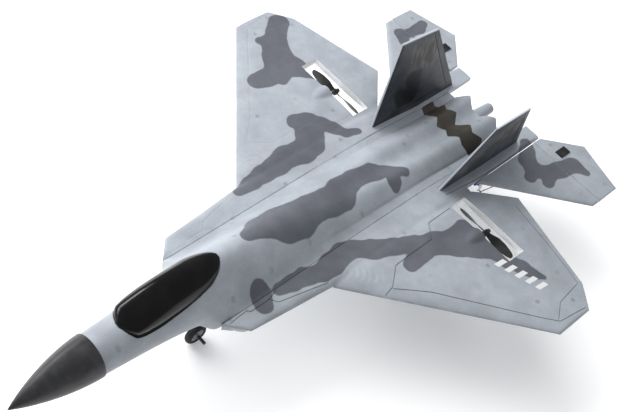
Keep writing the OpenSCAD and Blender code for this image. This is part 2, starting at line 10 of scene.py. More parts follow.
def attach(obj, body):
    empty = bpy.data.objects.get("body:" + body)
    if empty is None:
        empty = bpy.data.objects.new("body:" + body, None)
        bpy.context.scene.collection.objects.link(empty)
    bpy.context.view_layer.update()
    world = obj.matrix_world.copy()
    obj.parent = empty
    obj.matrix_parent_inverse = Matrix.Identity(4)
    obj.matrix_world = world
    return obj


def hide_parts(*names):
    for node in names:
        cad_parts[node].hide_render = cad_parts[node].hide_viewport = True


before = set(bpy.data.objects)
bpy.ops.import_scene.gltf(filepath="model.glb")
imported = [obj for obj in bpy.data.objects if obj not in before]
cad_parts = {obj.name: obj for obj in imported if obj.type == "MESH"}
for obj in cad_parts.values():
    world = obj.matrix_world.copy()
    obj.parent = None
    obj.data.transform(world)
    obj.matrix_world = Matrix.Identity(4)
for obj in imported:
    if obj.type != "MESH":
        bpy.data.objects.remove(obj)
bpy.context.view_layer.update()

mm = 0.001
farOff = 40.0            # mm, stands for "nowhere near" in the paint facts
wingPlane = 130          # mm from the floor to the wing's middle plane: shapes below measure z from here

# view
view = {"place": (0.7525, 0.5034, 1.3101), "lens": 66.67, "sensor": 36.0,
        "right": (-0.72316834, 0.66550363, 0.18474975),
        "up": (-0.45782548, -0.66217942, 0.5932236),
        "back": (0.51712994, 0.34441738, 0.78355171)}
cameraData = bpy.data.cameras.new("viewCamera")
cameraData.lens = view["lens"]
cameraData.sensor_width = view["sensor"]
camera = bpy.data.objects.new("viewCamera", cameraData)
bpy.context.scene.collection.objects.link(camera)
camera.matrix_world = Matrix.Translation(view["place"]) @ Matrix(
    (view["right"], view["up"], view["back"])).transposed().to_4x4()
bpy.context.scene.camera = camera
print("camera placed")


# small tools used by every piece
def linearColour(code):          # sRGB hex to the linear colour that the shaders take
    parts = [int(code[i:i + 2], 16) / 255 for i in (1, 3, 5)]
    return tuple(c / 12.92 if c <= 0.04045 else ((c + 0.055) / 1.055) ** 2.4 for c in parts) + (1,)


def addNode(tree, kind, settings=None, links=None):      # one node with its settings and links
    node = tree.nodes.new(kind)
    for key, value in (settings or {}).items():
        if isinstance(key, int) or key in node.inputs:
            node.inputs[key].default_value = value
        else:
            setattr(node, key, value)
    for key, source in (links or {}).items():
        tree.links.new(source, node.inputs[key])
    return node


def readRows(rows, at, column):      # smooth reading of a station table that never overshoots
    xs = np.array([r[0] for r in rows], float)
    vs = np.array([r[column] for r in rows], float)
    if xs[0] > xs[-1]:
        xs, vs = xs[::-1], vs[::-1]
    run = np.diff(xs)
    slope = np.diff(vs) / run
    tangent = np.zeros_like(vs)
    product = slope[:-1] * slope[1:]
    total = slope[:-1] + slope[1:]
    tangent[1:-1] = np.where(product > 0, 2 * product / np.where(total == 0, 1, total), 0)
    tangent[0], tangent[-1] = slope[0], slope[-1]
    at = np.clip(np.asarray(at, float), xs[0], xs[-1])
    k = np.clip(np.searchsorted(xs, at) - 1, 0, len(run) - 1)
    t = (at - xs[k]) / run[k]
    return ((1 + 2 * t) * (1 - t) ** 2 * vs[k] + t * (1 - t) ** 2 * run[k] * tangent[k]
            + t * t * (3 - 2 * t) * vs[k + 1] + t * t * (t - 1) * run[k] * tangent[k + 1])


def smoothStep(t):
    t = np.clip(t, 0, 1)
    return t * t * (3 - 2 * t)


def smoothMax(a, b, k):          # the larger of two heights, with a moulded fillet of about k mm
    h = np.clip(0.5 + 0.5 * (a - b) / k, 0, 1)
    return b * (1 - h) + a * h + k * h * (1 - h)


def rollOff(d, r):               # drop of a rounded edge of radius r at a distance d inside it
    q = 1 - np.clip(d / r, 0, 1)
    return r * (1 - np.sqrt(1 - q * q))


def distanceTo(lines, x, y):     # from each point to the nearest of several broken lines
    best = np.full(np.shape(x), 1e9)
    for line in lines:
        for (ax, ay), (bx, by) in zip(line[:-1], line[1:]):
            dx, dy = bx - ax, by - ay
            t = np.clip(((x - ax) * dx + (y - ay) * dy) / (dx * dx + dy * dy), 0, 1)
            best = np.minimum(best, np.hypot(x - ax - t * dx, y - ay - t * dy))
    return best


def insideOf(loop, x, y):
    inside = np.zeros(np.shape(x), bool)
    for (ax, ay), (bx, by) in zip(loop, loop[1:] + loop[:1]):
        if ay != by:
            crosses = ((ay > y) != (by > y)) & (x < (bx - ax) * (y - ay) / (by - ay) + ax)
            inside ^= crosses
    return inside


def closed(loop):
    return loop + loop[:1]


def alongLine(line, spacing):
    points = []
    for (ax, ay), (bx, by) in zip(line[:-1], line[1:]):
        n = max(1, round(math.dist((ax, ay), (bx, by)) / spacing))
        points += [(ax + (bx - ax) * i / n, ay + (by - ay) * i / n) for i in range(n)]
    return points + [line[-1]]


def besideLine(line, offset):    # the same broken line moved sideways
    out = []
    for i, (px, py) in enumerate(line):
        ax, ay = line[max(0, i - 1)]
        bx, by = line[min(len(line) - 1, i + 1)]
        length = math.dist((ax, ay), (bx, by))
        out.append((px - (by - ay) / length * offset, py + (bx - ax) / length * offset))
    return out


# flat net of triangles inside an outline: fine rows along the edges, creases as real edges, holes open
def netInside(outline, holes, creases, spacing, edgeRows, edgeSpacing):
    points, edges = [], []

    def addLine(line):
        first = len(points)
        points.extend(line)
        edges.extend((first + i, first + i + 1) for i in range(len(line) - 1))

    for loop in [outline] + holes:
        addLine(alongLine(closed(loop), edgeSpacing))
    creaseSides = []
    for line, width in creases:
        for offset in (-width, 0, width):
            side = alongLine(besideLine(line, offset), spacing)
            addLine(side)
            creaseSides.append(side)
    borders = [closed(loop) for loop in [outline] + holes]
    area = sum(ax * by - bx * ay for (ax, ay), (bx, by) in zip(outline, outline[1:] + outline[:1]))
    turn = 1 if area > 0 else -1
    extra = []
    for loop, sign in [(outline, turn)] + [(h, 0) for h in holes]:
        if sign == 0:
            holeArea = sum(ax * by - bx * ay for (ax, ay), (bx, by) in zip(loop, loop[1:] + loop[:1]))
            sign = -1 if holeArea > 0 else 1
        for (ax, ay), (bx, by) in zip(loop, loop[1:] + loop[:1]):
            length = math.dist((ax, ay), (bx, by))
            nx, ny = -(by - ay) / length * sign, (bx - ax) / length * sign
            for row in edgeRows:
                n = max(1, round(length / edgeSpacing))
                extra += [(ax + (bx - ax) * (i + 0.5) / n + nx * row,
                           ay + (by - ay) * (i + 0.5) / n + ny * row, row) for i in range(n)]
    ex, ey, er = np.array(extra).T
    keep = insideOf(outline, ex, ey) & (distanceTo(borders, ex, ey) > 0.9 * er)
    for hole in holes:
        keep &= ~insideOf(hole, ex, ey)
    if creaseSides:
        keep &= distanceTo(creaseSides, ex, ey) > 0.4
    points.extend(zip(ex[keep], ey[keep]))
    xs = [p[0] for p in outline]
    ys = [p[1] for p in outline]
    gx, gy = np.meshgrid(np.arange(min(xs), max(xs), spacing), np.arange(min(ys), max(ys), spacing))
    gx = (gx + spacing / 2 * (np.arange(gx.shape[0]) % 2)[:, None]).ravel()
    gy = gy.ravel()
    keep = insideOf(outline, gx, gy) & (distanceTo(borders, gx, gy) > max(edgeRows) + 0.5 * spacing)
    for hole in holes:
        keep &= ~insideOf(hole, gx, gy)
    if creaseSides:
        keep &= distanceTo(creaseSides, gx, gy) > 0.45 * spacing
    points.extend(zip(gx[keep], gy[keep]))
    found = delaunay_2d_cdt([Vector(p) for p in points], edges, [], 0, 1e-4, False)
    spots = np.array([tuple(v) for v in found[0]])
    faces = np.array([f for f in found[2] if len(f) == 3])
    middle = spots[faces].mean(1)
    keep = insideOf(outline, middle[:, 0], middle[:, 1])
    for hole in holes:
        keep &= ~insideOf(hole, middle[:, 0], middle[:, 1])
    return spots, faces[keep]


def makeObject(name, verts, faces, sharpAngle=40):
    mesh = bpy.data.meshes.new(name)
    mesh.from_pydata([tuple(v) for v in verts], [], [tuple(int(i) for i in f) for f in faces])
    mesh.validate()
    mesh.update()
    mesh.shade_smooth()
    mesh.set_sharp_from_angle(angle=math.radians(sharpAngle))
    piece = bpy.data.objects.new(name, mesh)
    bpy.context.scene.collection.objects.link(piece)
    return piece


def slabFromNet(name, spots, faces, top, bottom, place, side=1, sharpAngle=40):
    # two skins over the same net, joined by walls along its open edges; place puts (u, v, w) in the frame
    count = len(spots)
    verts = [place(u, v, w) for (u, v), w in zip(spots, top)]
    verts += [place(u, v, w) for (u, v), w in zip(spots, bottom)]
    flat = spots[faces]
    turn = np.cross(flat[:, 1] - flat[:, 0], flat[:, 2] - flat[:, 0])
    faces = np.where((turn > 0)[:, None], faces, faces[:, ::-1])
    pairs = {}
    for f in faces:
        for i in range(3):
            e = (int(f[i]), int(f[(i + 1) % 3]))
            pairs[e] = True
    openEdges = [e for e in pairs if (e[1], e[0]) not in pairs]
    allFaces = [tuple(f) for f in faces] + [tuple(int(i) + count for i in f[::-1]) for f in faces]
    allFaces += [(j, i, i + count, j + count) for i, j in openEdges]
    if side < 0:
        allFaces = [f[::-1] for f in allFaces]
    return makeObject(name, verts, allFaces, sharpAngle)


def planPlace(side):             # puts a plan point and its height in the frame, left side or right
    return lambda u, v, w: (u * mm, side * v * mm, (w + wingPlane) * mm)


def skinOverRings(name, rings, sharpAngle=35, capFirst=True, capLast=True):
    rings = np.asarray(rings, float)
    m, n = rings.shape[:2]
    verts = rings.reshape(-1, 3)
    faces = [(i * n + j, i * n + (j + 1) % n, (i + 1) * n + (j + 1) % n, (i + 1) * n + j)
             for i in range(m - 1) for j in range(n)]
    if capFirst:
        faces.append(tuple(range(n - 1, -1, -1)))
    if capLast:
        faces.append(tuple((m - 1) * n + j for j in range(n)))
    piece = makeObject(name, verts * mm, faces, sharpAngle)
    facesOut(piece)
    return piece


def facesOut(piece):             # turn every face outwards
    work = bmesh.new()
    work.from_mesh(piece.data)
    bmesh.ops.recalc_face_normals(work, faces=work.faces)
    work.to_mesh(piece.data)
    work.free()
    return piece


def cutAway(piece, cutters):     # exact boolean cuts, applied to the mesh
    for cutter in cutters:
        change = piece.modifiers.new("cut", "BOOLEAN")
        change.operation = "DIFFERENCE"
        change.solver = "EXACT"
        change.object = cutter
    bpy.context.view_layer.update()
    done = bpy.data.meshes.new_from_object(piece.evaluated_get(bpy.context.evaluated_depsgraph_get()))
    piece.modifiers.clear()
    old = piece.data
    piece.data = done
    bpy.data.meshes.remove(old)
    for cutter in cutters:
        bpy.data.objects.remove(cutter)
    return piece


def blockCutter(x0, x1, y0, y1, z0, z1):
    z0, z1 = z0 + wingPlane, z1 + wingPlane
    verts = [(x * mm, y * mm, z * mm) for x in (x0, x1) for y in (y0, y1) for z in (z0, z1)]
    faces = [(0, 1, 3, 2), (4, 6, 7, 5), (0, 4, 5, 1), (2, 3, 7, 6), (0, 2, 6, 4), (1, 5, 7, 3)]
    return makeObject("cutter", verts, faces)


def joinPieces(parts, name):     # one mesh out of several, under a new name
    bpy.ops.object.select_all(action="DESELECT")
    for part in parts:
        part.select_set(True)
    bpy.context.view_layer.objects.active = parts[0]
    bpy.ops.object.join()
    parts[0].name = name
    return parts[0]


def vertexPlaces(piece):         # the mesh's points in mm, with z from the wing's middle plane
    co = np.zeros(len(piece.data.vertices) * 3)
    piece.data.vertices.foreach_get("co", co)
    return co.reshape(-1, 3) / mm - (0, 0, wingPlane)


def vertexNormals(piece):
    no = np.zeros(len(piece.data.vertices) * 3)
    piece.data.vertices.foreach_get("normal", no)
    return no.reshape(-1, 3)


def setFact(piece, name, values):
    fact = piece.data.attributes.new(name, "FLOAT", "POINT")
    fact.data.foreach_set("value", np.asarray(values, np.float32))


def fit(piece, body, slotName, nodes, *finishes):    # body, replaced CAD nodes and finishes in one go; slotName is not used
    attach(piece, body)
    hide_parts(*nodes)
    piece.data.materials.clear()
    for finish in finishes:
        piece.data.materials.append(finish)
    return piece


# paint scheme, mm in plan view
camouflage = {
    "rightTip": [(-217, -293, 16), (-198, -278, 15), (-180, -261, 19), (-166, -238, 23), (-146, -215, 19),
                 (-124, -216, 16), (-110, -219, 15)],
    "rightTipLobe": [(-184, -265, 15), (-166, -277, 8)],
    "rightSlot": [(-160, -230, 18), (-172, -212, 20), (-181, -194, 12), (-186, -181, 6)],
    "rightLobe": [(-145, -212, 16), (-140, -198, 7)],
    "rightTail": [(-104, -131, 14), (-120, -124, 13), (-132, -108, 12), (-143, -92, 10), (-150, -78, 7),
                  (-167, -71, 6)],
    "rightRoot": [(-116, -119, 17), (-104, -103, 20), (-94, -90, 19), (-73, -86, 19), (-52, -92, 18),
                  (-30, -88, 16), (-6, -88, 14), (18, -86, 12), (40, -84, 8)],
    "spineFront": [(103, -4, 10), (76, -7, 20), (48, 0, 28), (26, 5, 26), (-1, 3, 21), (-32, 7, 21),
                   (-50, 8, 22)],
    "spineRear": [(-60, 0, 20), (-90, -4, 14), (-121, 1, 15), (-140, 9, 10), (-162, 24, 7)],
    "spineLeg": [(-143, 12, 9), (-137, 28, 10), (-133, 35, 6)],
    "leftStrake": [(122, 53, 15), (128, 66, 12)],
    "leftRoot": [(97, 60, 9), (78, 63, 11), (58, 65, 13), (36, 73, 13), (18, 71, 16), (-7, 67, 15),
                 (-22, 70, 13), (-43, 86, 15), (-69, 99, 13), (-97, 112, 13)],
    "leftWing": [(-92, 118, 14), (-120, 128, 18), (-143, 144, 21), (-164, 162, 21), (-177, 184, 13),
                 (-181, 205, 12), (-190, 223, 11), (-195, 238, 8), (-203, 250, 4)],
    "leftLobe": [(-94, 127, 15), (-67, 132, 11)],
    "leftPod": [(-150, 136, 14), (-172, 130, 10), (-177, 143, 10)],
    "leftTail": [(-372, 79, 9), (-362, 90, 11), (-348, 102, 13), (-344, 118, 13), (-355, 134, 13),
                 (-376, 141, 14), (-401, 147, 13), (-407, 168, 6)],
    "leftTailLobe": [(-344, 118, 11), (-328, 125, 9)],
    "leftTailLobeTwo": [(-356, 138, 11), (-343, 147, 9)],
    "rightTailplane": [(-417, -178, 8), (-403, -173, 10), (-384, -174, 8), (-371, -182, 9), (-364, -166, 9)],
}
# clusters of steam vent pips that the mould leaves in the foam, in plan view
ventSpots = [(-207, -309), (-229, -278), (-168, -292), (-183, -232), (-248, -139), (-163, -118), (-66, -169),
             (-131, -163), (-135, -73), (-212, -20), (-107, -54), (-19, -59), (28, 36), (84, -48), (95, 39),
             (-65, 40), (-198, -13), (-234, 46), (-35, -7), (160, 43), (-96, 92), (-76, 158), (-241, 181),
             (-226, 256), (-166, 270), (-209, 297), (-152, 193), (313, 20), (174, 56), (117, -13), (75, -55),
             (-402, 102), (-434, 151), (-415, 196), (-368, 188), (-340, 10), (-412, -195), (-427, -147),
             (-394, -98), (-256, -23), (-328, 16), (-334, -39)]
exhaustBand = {"front": [(0, -276), (11, -266), (22, -278), (32, -275), (44, -281), (57, -289)],
               "rear": [(0, -296), (13.5, -312), (26, -303), (37.5, -316), (48, -309), (57, -314)]}


def camoDepth(chains, u, v, blend=5):    # mm inside the blotches, negative outside them
    depth = np.full(np.shape(u), -60.0)
    for chain in chains:
        for (ax, ay, ar), (bx, by, br) in zip(chain[:-1], chain[1:]):
            dx, dy = bx - ax, by - ay
            t = np.clip(((u - ax) * dx + (v - ay) * dy) / (dx * dx + dy * dy), 0, 1)
            reach = ar + (br - ar) * t - np.hypot(u - ax - t * dx, v - ay - t * dy)
            depth = smoothMax(depth, reach, blend)
    return depth


def bandDepth(x, y):
    fy, fx = np.array(exhaustBand["front"], float).T
    ry, rx = np.array(exhaustBand["rear"], float).T
    return np.minimum(np.interp(np.abs(y), fy, fx) - x, x - np.interp(np.abs(y), ry, rx))


def paintFacts(piece, creaseShade=None, rim=None, camo=None):
    # what the paint shader reads: blotches, exhaust band, painted crease shade, vents and distance from a
    # bare edge
    x, y, z = vertexPlaces(piece).T
    upward = vertexNormals(piece)[:, 2] > -0.2
    if camo is None:
        camo = np.where(upward, camoDepth(camouflage.values(), x, y), -farOff)
    setFact(piece, "camo", camo)
    onDeck = upward & (np.abs(y) < 57)
    setFact(piece, "band", np.where(onDeck, bandDepth(x, y), -farOff))
    setFact(piece, "creaseShade", np.zeros(len(x)) if creaseShade is None else creaseShade)
    setFact(piece, "rim", np.full(len(x), farOff) if rim is None else rim)
    near = np.full(len(x), farOff)
    for vx, vy in ventSpots:
        near = np.minimum(near, np.hypot(x - vx, y - vy))
    setFact(piece, "vent", np.where(upward, near, farOff))


# finishes
def startMaterial(name, roughness, ior=1.5, **sockets):
    material = bpy.data.materials.new(name)
    material.use_nodes = True
    tree = material.node_tree
    shader = tree.nodes["Principled BSDF"]
    shader.inputs["Roughness"].default_value = roughness
    shader.inputs["IOR"].default_value = ior
    for key, value in sockets.items():
        shader.inputs[key.replace("_", " ")].default_value = value
    place = addNode(tree, "ShaderNodeTexCoord").outputs["Object"]
    return material, tree, shader, place


def cells(size):                 # pattern scale for a feature of that many mm, in metres of surface
    return 1 / (size * mm)


# creaseShade is the dark grey that the painted shade of creases and vent pits, the bead borders and the
# grain pull towards
foamLook = {"light": "#9ba1a8", "lightTwo": "#8d9299", "camo": "#5c5e65", "camoTwo": "#505259",
            "band": "#2b2824", "bandTwo": "#454037", "bare": "#f4f5f5", "creaseShade": "#4a4f57",
            "bead": 2.9, "beadBump": 0.10, "grain": 0.7, "patch": 38, "ventPip": 1.5, "ventReach": 3.7}


# spray-painted EPO bead foam, steam moulded: satin paint over welded beads, so the eye gets a soft
# sheen, faint bead borders, vent pips and moulded creases darkened as painted shade, and slightly cloudy
# colour
def paintedFoam(name, look):
    material, tree, shader, place = startMaterial(name, 0.5, 1.46)
    facts = {key: addNode(tree, "ShaderNodeAttribute", {"attribute_name": key}).outputs["Fac"]
             for key in ("camo", "band", "creaseShade", "vent", "rim")}
    cloud = addNode(tree, "ShaderNodeTexNoise", {"Scale": cells(look["patch"]), "Detail": 4.0,
                                                 "Roughness": 0.6}, {"Vector": place}).outputs["Fac"]
    wobble = addNode(tree, "ShaderNodeTexNoise", {"Scale": cells(9), "Detail": 3.0},
                     {"Vector": place}).outputs["Fac"]
    shift = addNode(tree, "ShaderNodeMath", {"operation": "MULTIPLY_ADD", 1: 2.2, 2: -1.1}, {0: wobble})
    edge = addNode(tree, "ShaderNodeMath", {"operation": "ADD"}, {0: facts["camo"], 1: shift.outputs[0]})
    isCamo = addNode(tree, "ShaderNodeMapRange", {"From Min": -0.7, "From Max": 0.7},
                     {"Value": edge.outputs[0]}).outputs[0]
    isBand = addNode(tree, "ShaderNodeMapRange", {"From Min": -0.25, "From Max": 0.25},
                     {"Value": facts["band"]}).outputs[0]
    tone = addNode(tree, "ShaderNodeMapRange", {"From Min": 0.35, "From Max": 0.65},
                   {"Value": cloud}).outputs[0]
    light = addNode(tree, "ShaderNodeMix", {"data_type": "RGBA", 6: linearColour(look["light"]),
                                            7: linearColour(look["lightTwo"])}, {0: tone}).outputs[2]
    dark = addNode(tree, "ShaderNodeMix", {"data_type": "RGBA", 6: linearColour(look["camo"]),
                                           7: linearColour(look["camoTwo"])}, {0: tone}).outputs[2]
    rust = addNode(tree, "ShaderNodeMix", {"data_type": "RGBA", 6: linearColour(look["band"]),
                                           7: linearColour(look["bandTwo"])}, {0: tone}).outputs[2]
    paint = addNode(tree, "ShaderNodeMix", {"data_type": "RGBA"}, {0: isCamo, 6: light, 7: dark}).outputs[2]
    paint = addNode(tree, "ShaderNodeMix", {"data_type": "RGBA"}, {0: isBand, 6: paint, 7: rust}).outputs[2]
    # beads: welded cells with slightly darker borders
    beads = addNode(tree, "ShaderNodeTexVoronoi", {"feature": "DISTANCE_TO_EDGE",
                                                   "Scale": cells(look["bead"])}, {"Vector": place})
    border = addNode(tree, "ShaderNodeMapRange", {"From Min": 0.0, "From Max": 0.10, "To Min": 0.10,
                                                  "To Max": 0.0}, {"Value": beads.outputs["Distance"]})
    grain = addNode(tree, "ShaderNodeTexNoise", {"Scale": cells(look["grain"]), "Detail": 2.0},
                    {"Vector": place}).outputs["Fac"]
    speck = addNode(tree, "ShaderNodeMapRange", {"From Min": 0.3, "From Max": 0.7, "To Min": -0.05,
                                                 "To Max": 0.05}, {"Value": grain})
    # vent pips: painted shade in the small moulded pits
    pips = addNode(tree, "ShaderNodeTexVoronoi", {"Scale": cells(look["ventPip"]), "Randomness": 0.25},
                   {"Vector": place})
    pip = addNode(tree, "ShaderNodeMapRange", {"From Min": 0.22, "From Max": 0.42, "To Min": 0.8,
                                               "To Max": 0.12}, {"Value": pips.outputs["Distance"]})
    inVent = addNode(tree, "ShaderNodeMapRange", {"From Min": look["ventReach"], "From Max":
                                                  look["ventReach"] - 0.9}, {"Value": facts["vent"]})
    ventPitShade = addNode(tree, "ShaderNodeMath", {"operation": "MULTIPLY"},
                       {0: pip.outputs[0], 1: inVent.outputs[0]}).outputs[0]
    # painted shade along the moulded creases
    paintedCreaseShade = addNode(tree, "ShaderNodeMath", {"operation": "MULTIPLY", 1: 0.75},
                       {0: facts["creaseShade"]}).outputs[0]
    # painted shade of pits and creases, bead borders and grain are mixed towards one dark grey
    darkest = addNode(tree, "ShaderNodeMath", {"operation": "MAXIMUM"}, {0: ventPitShade, 1: paintedCreaseShade})
    shade = addNode(tree, "ShaderNodeMath", {"operation": "ADD"}, {0: border.outputs[0],
                                                                   1: speck.outputs[0]})
    total = addNode(tree, "ShaderNodeMath", {"operation": "ADD", "use_clamp": True},
                    {0: darkest.outputs[0], 1: shade.outputs[0]})
    beadsAndPaintedShade = addNode(tree, "ShaderNodeMix", {"data_type": "RGBA", 7: linearColour(look["creaseShade"])},
                   {0: total.outputs[0], 6: paint}).outputs[2]
    bareAmount = addNode(tree, "ShaderNodeMapRange", {"From Min": 1.3, "From Max": 0.5},
                         {"Value": facts["rim"]}).outputs[0]
    final = addNode(tree, "ShaderNodeMix", {"data_type": "RGBA", 7: linearColour(look["bare"])},
                    {0: bareAmount, 6: beadsAndPaintedShade}).outputs[2]
    tree.links.new(final, shader.inputs["Base Color"])
    rough = addNode(tree, "ShaderNodeMapRange", {"To Min": 0.33, "To Max": 0.48}, {"Value": cloud})
    tree.links.new(rough.outputs[0], shader.inputs["Roughness"])
    bumpBead = addNode(tree, "ShaderNodeMapRange", {"From Max": 0.16},
                       {"Value": beads.outputs["Distance"]}).outputs[0]
    bump = addNode(tree, "ShaderNodeBump", {"Strength": 0.55, "Distance": look["beadBump"] * mm},
                   {"Height": bumpBead})
    bumpTwo = addNode(tree, "ShaderNodeBump", {"Strength": 0.5, "Distance": 0.06 * mm},
                      {"Height": grain, "Normal": bump.outputs[0]})
    bumpVent = addNode(tree, "ShaderNodeBump", {"Strength": 0.8, "Distance": 0.3 * mm, "invert": True},
                       {"Height": ventPitShade, "Normal": bumpTwo.outputs[0]})
    tree.links.new(bumpVent.outputs[0], shader.inputs["Normal"])
    return material


# unpainted EPO bead foam, hot-wire cut face: bright white with open bead cells
def bareFoam(name, look):
    material, tree, shader, place = startMaterial(name, 0.62, 1.46)
    beads = addNode(tree, "ShaderNodeTexVoronoi", {"feature": "DISTANCE_TO_EDGE", "Scale": cells(2.6)},
                    {"Vector": place})
    border = addNode(tree, "ShaderNodeMapRange", {"From Max": 0.12, "To Min": 0.22, "To Max": 0.0},
                     {"Value": beads.outputs["Distance"]})
    colour = addNode(tree, "ShaderNodeMix", {"data_type": "RGBA", 6: linearColour(look["bare"]),
                                             7: linearColour("#b9bec4")}, {0: border.outputs[0]})
    tree.links.new(colour.outputs[2], shader.inputs["Base Color"])
    bump = addNode(tree, "ShaderNodeBump", {"Strength": 0.7, "Distance": 0.2 * mm},
                   {"Height": beads.outputs["Distance"]})
    tree.links.new(bump.outputs[0], shader.inputs["Normal"])
    return material


# moulded or sprayed plastic and rubber: base colour with fine moulding grain and a little dust
def mouldedPlastic(name, colour, roughness, grainSize, bumpDepth, beadsAndPaintedShade=0.08, ior=1.5, **sockets):
    material, tree, shader, place = startMaterial(name, roughness, ior, **sockets)
    grain = addNode(tree, "ShaderNodeTexNoise", {"Scale": cells(grainSize), "Detail": 3.0},
                    {"Vector": place}).outputs["Fac"]
    patch = addNode(tree, "ShaderNodeTexNoise", {"Scale": cells(grainSize * 22), "Detail": 4.0},
                    {"Vector": place}).outputs["Fac"]
    dust = addNode(tree, "ShaderNodeMapRange", {"From Min": 0.42, "From Max": 0.75, "To Max": beadsAndPaintedShade},
                   {"Value": patch}).outputs[0]
    base = linearColour(colour)
    pale = tuple(c + (1 - c) * 0.35 for c in base[:3]) + (1,)
    mixed = addNode(tree, "ShaderNodeMix", {"data_type": "RGBA", 6: base, 7: pale}, {0: dust})
    tree.links.new(mixed.outputs[2], shader.inputs["Base Color"])
    rough = addNode(tree, "ShaderNodeMapRange", {"To Min": roughness * 0.85, "To Max":
                                                 min(1, roughness * 1.15)}, {"Value": patch})
    tree.links.new(rough.outputs[0], shader.inputs["Roughness"])
    bump = addNode(tree, "ShaderNodeBump", {"Strength": 0.5, "Distance": bumpDepth * mm},
                   {"Height": grain})
    tree.links.new(bump.outputs[0], shader.inputs["Normal"])
    return material


# drawn or turned metal: default IOR, fine lines along one way of the piece
def drawnMetal(name, colour, roughness, lineSize, stretch):
    material, tree, shader, place = startMaterial(name, roughness)
    shader.inputs["Metallic"].default_value = 1
    ways = addNode(tree, "ShaderNodeMapping", {"Scale": stretch}, {"Vector": place})
    lines = addNode(tree, "ShaderNodeTexNoise", {"Scale": cells(lineSize), "Detail": 4.0},
                    {"Vector": ways.outputs[0]}).outputs["Fac"]
    base = linearColour(colour)
    dim = tuple(c * 0.7 for c in base[:3]) + (1,)
    mixed = addNode(tree, "ShaderNodeMix", {"data_type": "RGBA", 6: base, 7: dim}, {0: lines})
    tree.links.new(mixed.outputs[2], shader.inputs["Base Color"])
    rough = addNode(tree, "ShaderNodeMapRange", {"To Min": roughness * 0.7, "To Max": roughness * 1.3},
                    {"Value": lines})
    tree.links.new(rough.outputs[0], shader.inputs["Roughness"])
    bump = addNode(tree, "ShaderNodeBump", {"Strength": 0.4, "Distance": 0.03 * mm}, {"Height": lines})
    tree.links.new(bump.outputs[0], shader.inputs["Normal"])
    return material


# layered or woven sheet: two tones in bands of a real spacing, for ply, carbon weave and webbing
def bandedSheet(name, colours, roughness, spacing, bandKind, bumpDepth, distortion=0.0):
    material, tree, shader, place = startMaterial(name, roughness)
    bands = addNode(tree, "ShaderNodeTexWave", {"Scale": cells(spacing) / 6.28, "Distortion": distortion,
                                                "Detail": 2.0, "bands_direction": bandKind},
                    {"Vector": place}).outputs["Fac"]
    mixed = addNode(tree, "ShaderNodeMix", {"data_type": "RGBA", 6: linearColour(colours[0]),
                                            7: linearColour(colours[1])}, {0: bands})
    tree.links.new(mixed.outputs[2], shader.inputs["Base Color"])
    bump = addNode(tree, "ShaderNodeBump", {"Strength": 0.6, "Distance": bumpDepth * mm},
                   {"Height": bands})
    tree.links.new(bump.outputs[0], shader.inputs["Normal"])
    return material


# sprayed and bare foam of the airframe
foamPainted = paintedFoam("epoFoamSprayedGrey", foamLook)
foamBare = bareFoam("epoFoamBareCut", foamLook)
# soft satin sheen
coneBlack = mouldedPlastic("evaFoamMouldedCharcoal", "#262628", 0.38, 0.6, 0.04, 0.05)
# smooth hard gloss
canopyBlack = mouldedPlastic("petVacuumFormedBlack", "#040405", 0.15, 1.2, 0.004, 0.01,
                             Specular_IOR_Level=0.3)
# dull, faint grain
nylonBlack = mouldedPlastic("nylonMouldedBlack", "#17171a", 0.45, 0.5, 0.03)
# slightly glossy
propBlack = mouldedPlastic("nylonPropellerBlack", "#0b0b0c", 0.30, 0.9, 0.02, 0.05)
# waxy white
nylonWhite = mouldedPlastic("nylonMouldedWhite", "#dedfdb", 0.42, 0.5, 0.03)
# wheel hubs
absGrey = mouldedPlastic("absMouldedGrey", "#8d8f92", 0.40, 0.6, 0.03)
# clear-tinted case
servoBlue = mouldedPlastic("absTintedBlue", "#1f3f78", 0.25, 0.8, 0.02)
# matt, open pores
tyreRubber = mouldedPlastic("foamRubberTyreBlack", "#101011", 0.75, 0.8, 0.12, 0.10)
# solder mask
boardGreen = mouldedPlastic("fibreglassBoardGreen", "#1c5a38", 0.35, 0.9, 0.03)
# tight shiny wrap
cellWrap = mouldedPlastic("pvcShrinkWrapBlue", "#2a4fa0", 0.22, 2.4, 0.05)
# lines along the wire
wireSteel = drawnMetal("springSteelDrawn", "#8c8e92", 0.32, 0.5, (1, 1, 0.1))
# rings of the lathe
canSteel = drawnMetal("aluminiumTurned", "#a9abae", 0.28, 0.4, (0.1, 1, 1))
# wrapped cloth under clear resin
carbonTube = bandedSheet("carbonTubeWrapped", ("#141416", "#2a2a2e"), 0.3, 1.0, "DIAGONAL", 0.03)
# laser-cut thin ply, warm grain
plySheet = bandedSheet("birchPlyCut", ("#c79a62", "#a87d48"), 0.55, 2.2, "X", 0.03, 3.0)
# woven strap, matt ribs
webbing = bandedSheet("nylonHookStrap", ("#19191b", "#2b2b2e"), 0.85, 0.9, "Y", 0.10)
# thin printed film
vinylPale = mouldedPlastic("vinylMarkPale", "#cfd0d0", 0.35, 0.7, 0.01)
print("finishes ready")

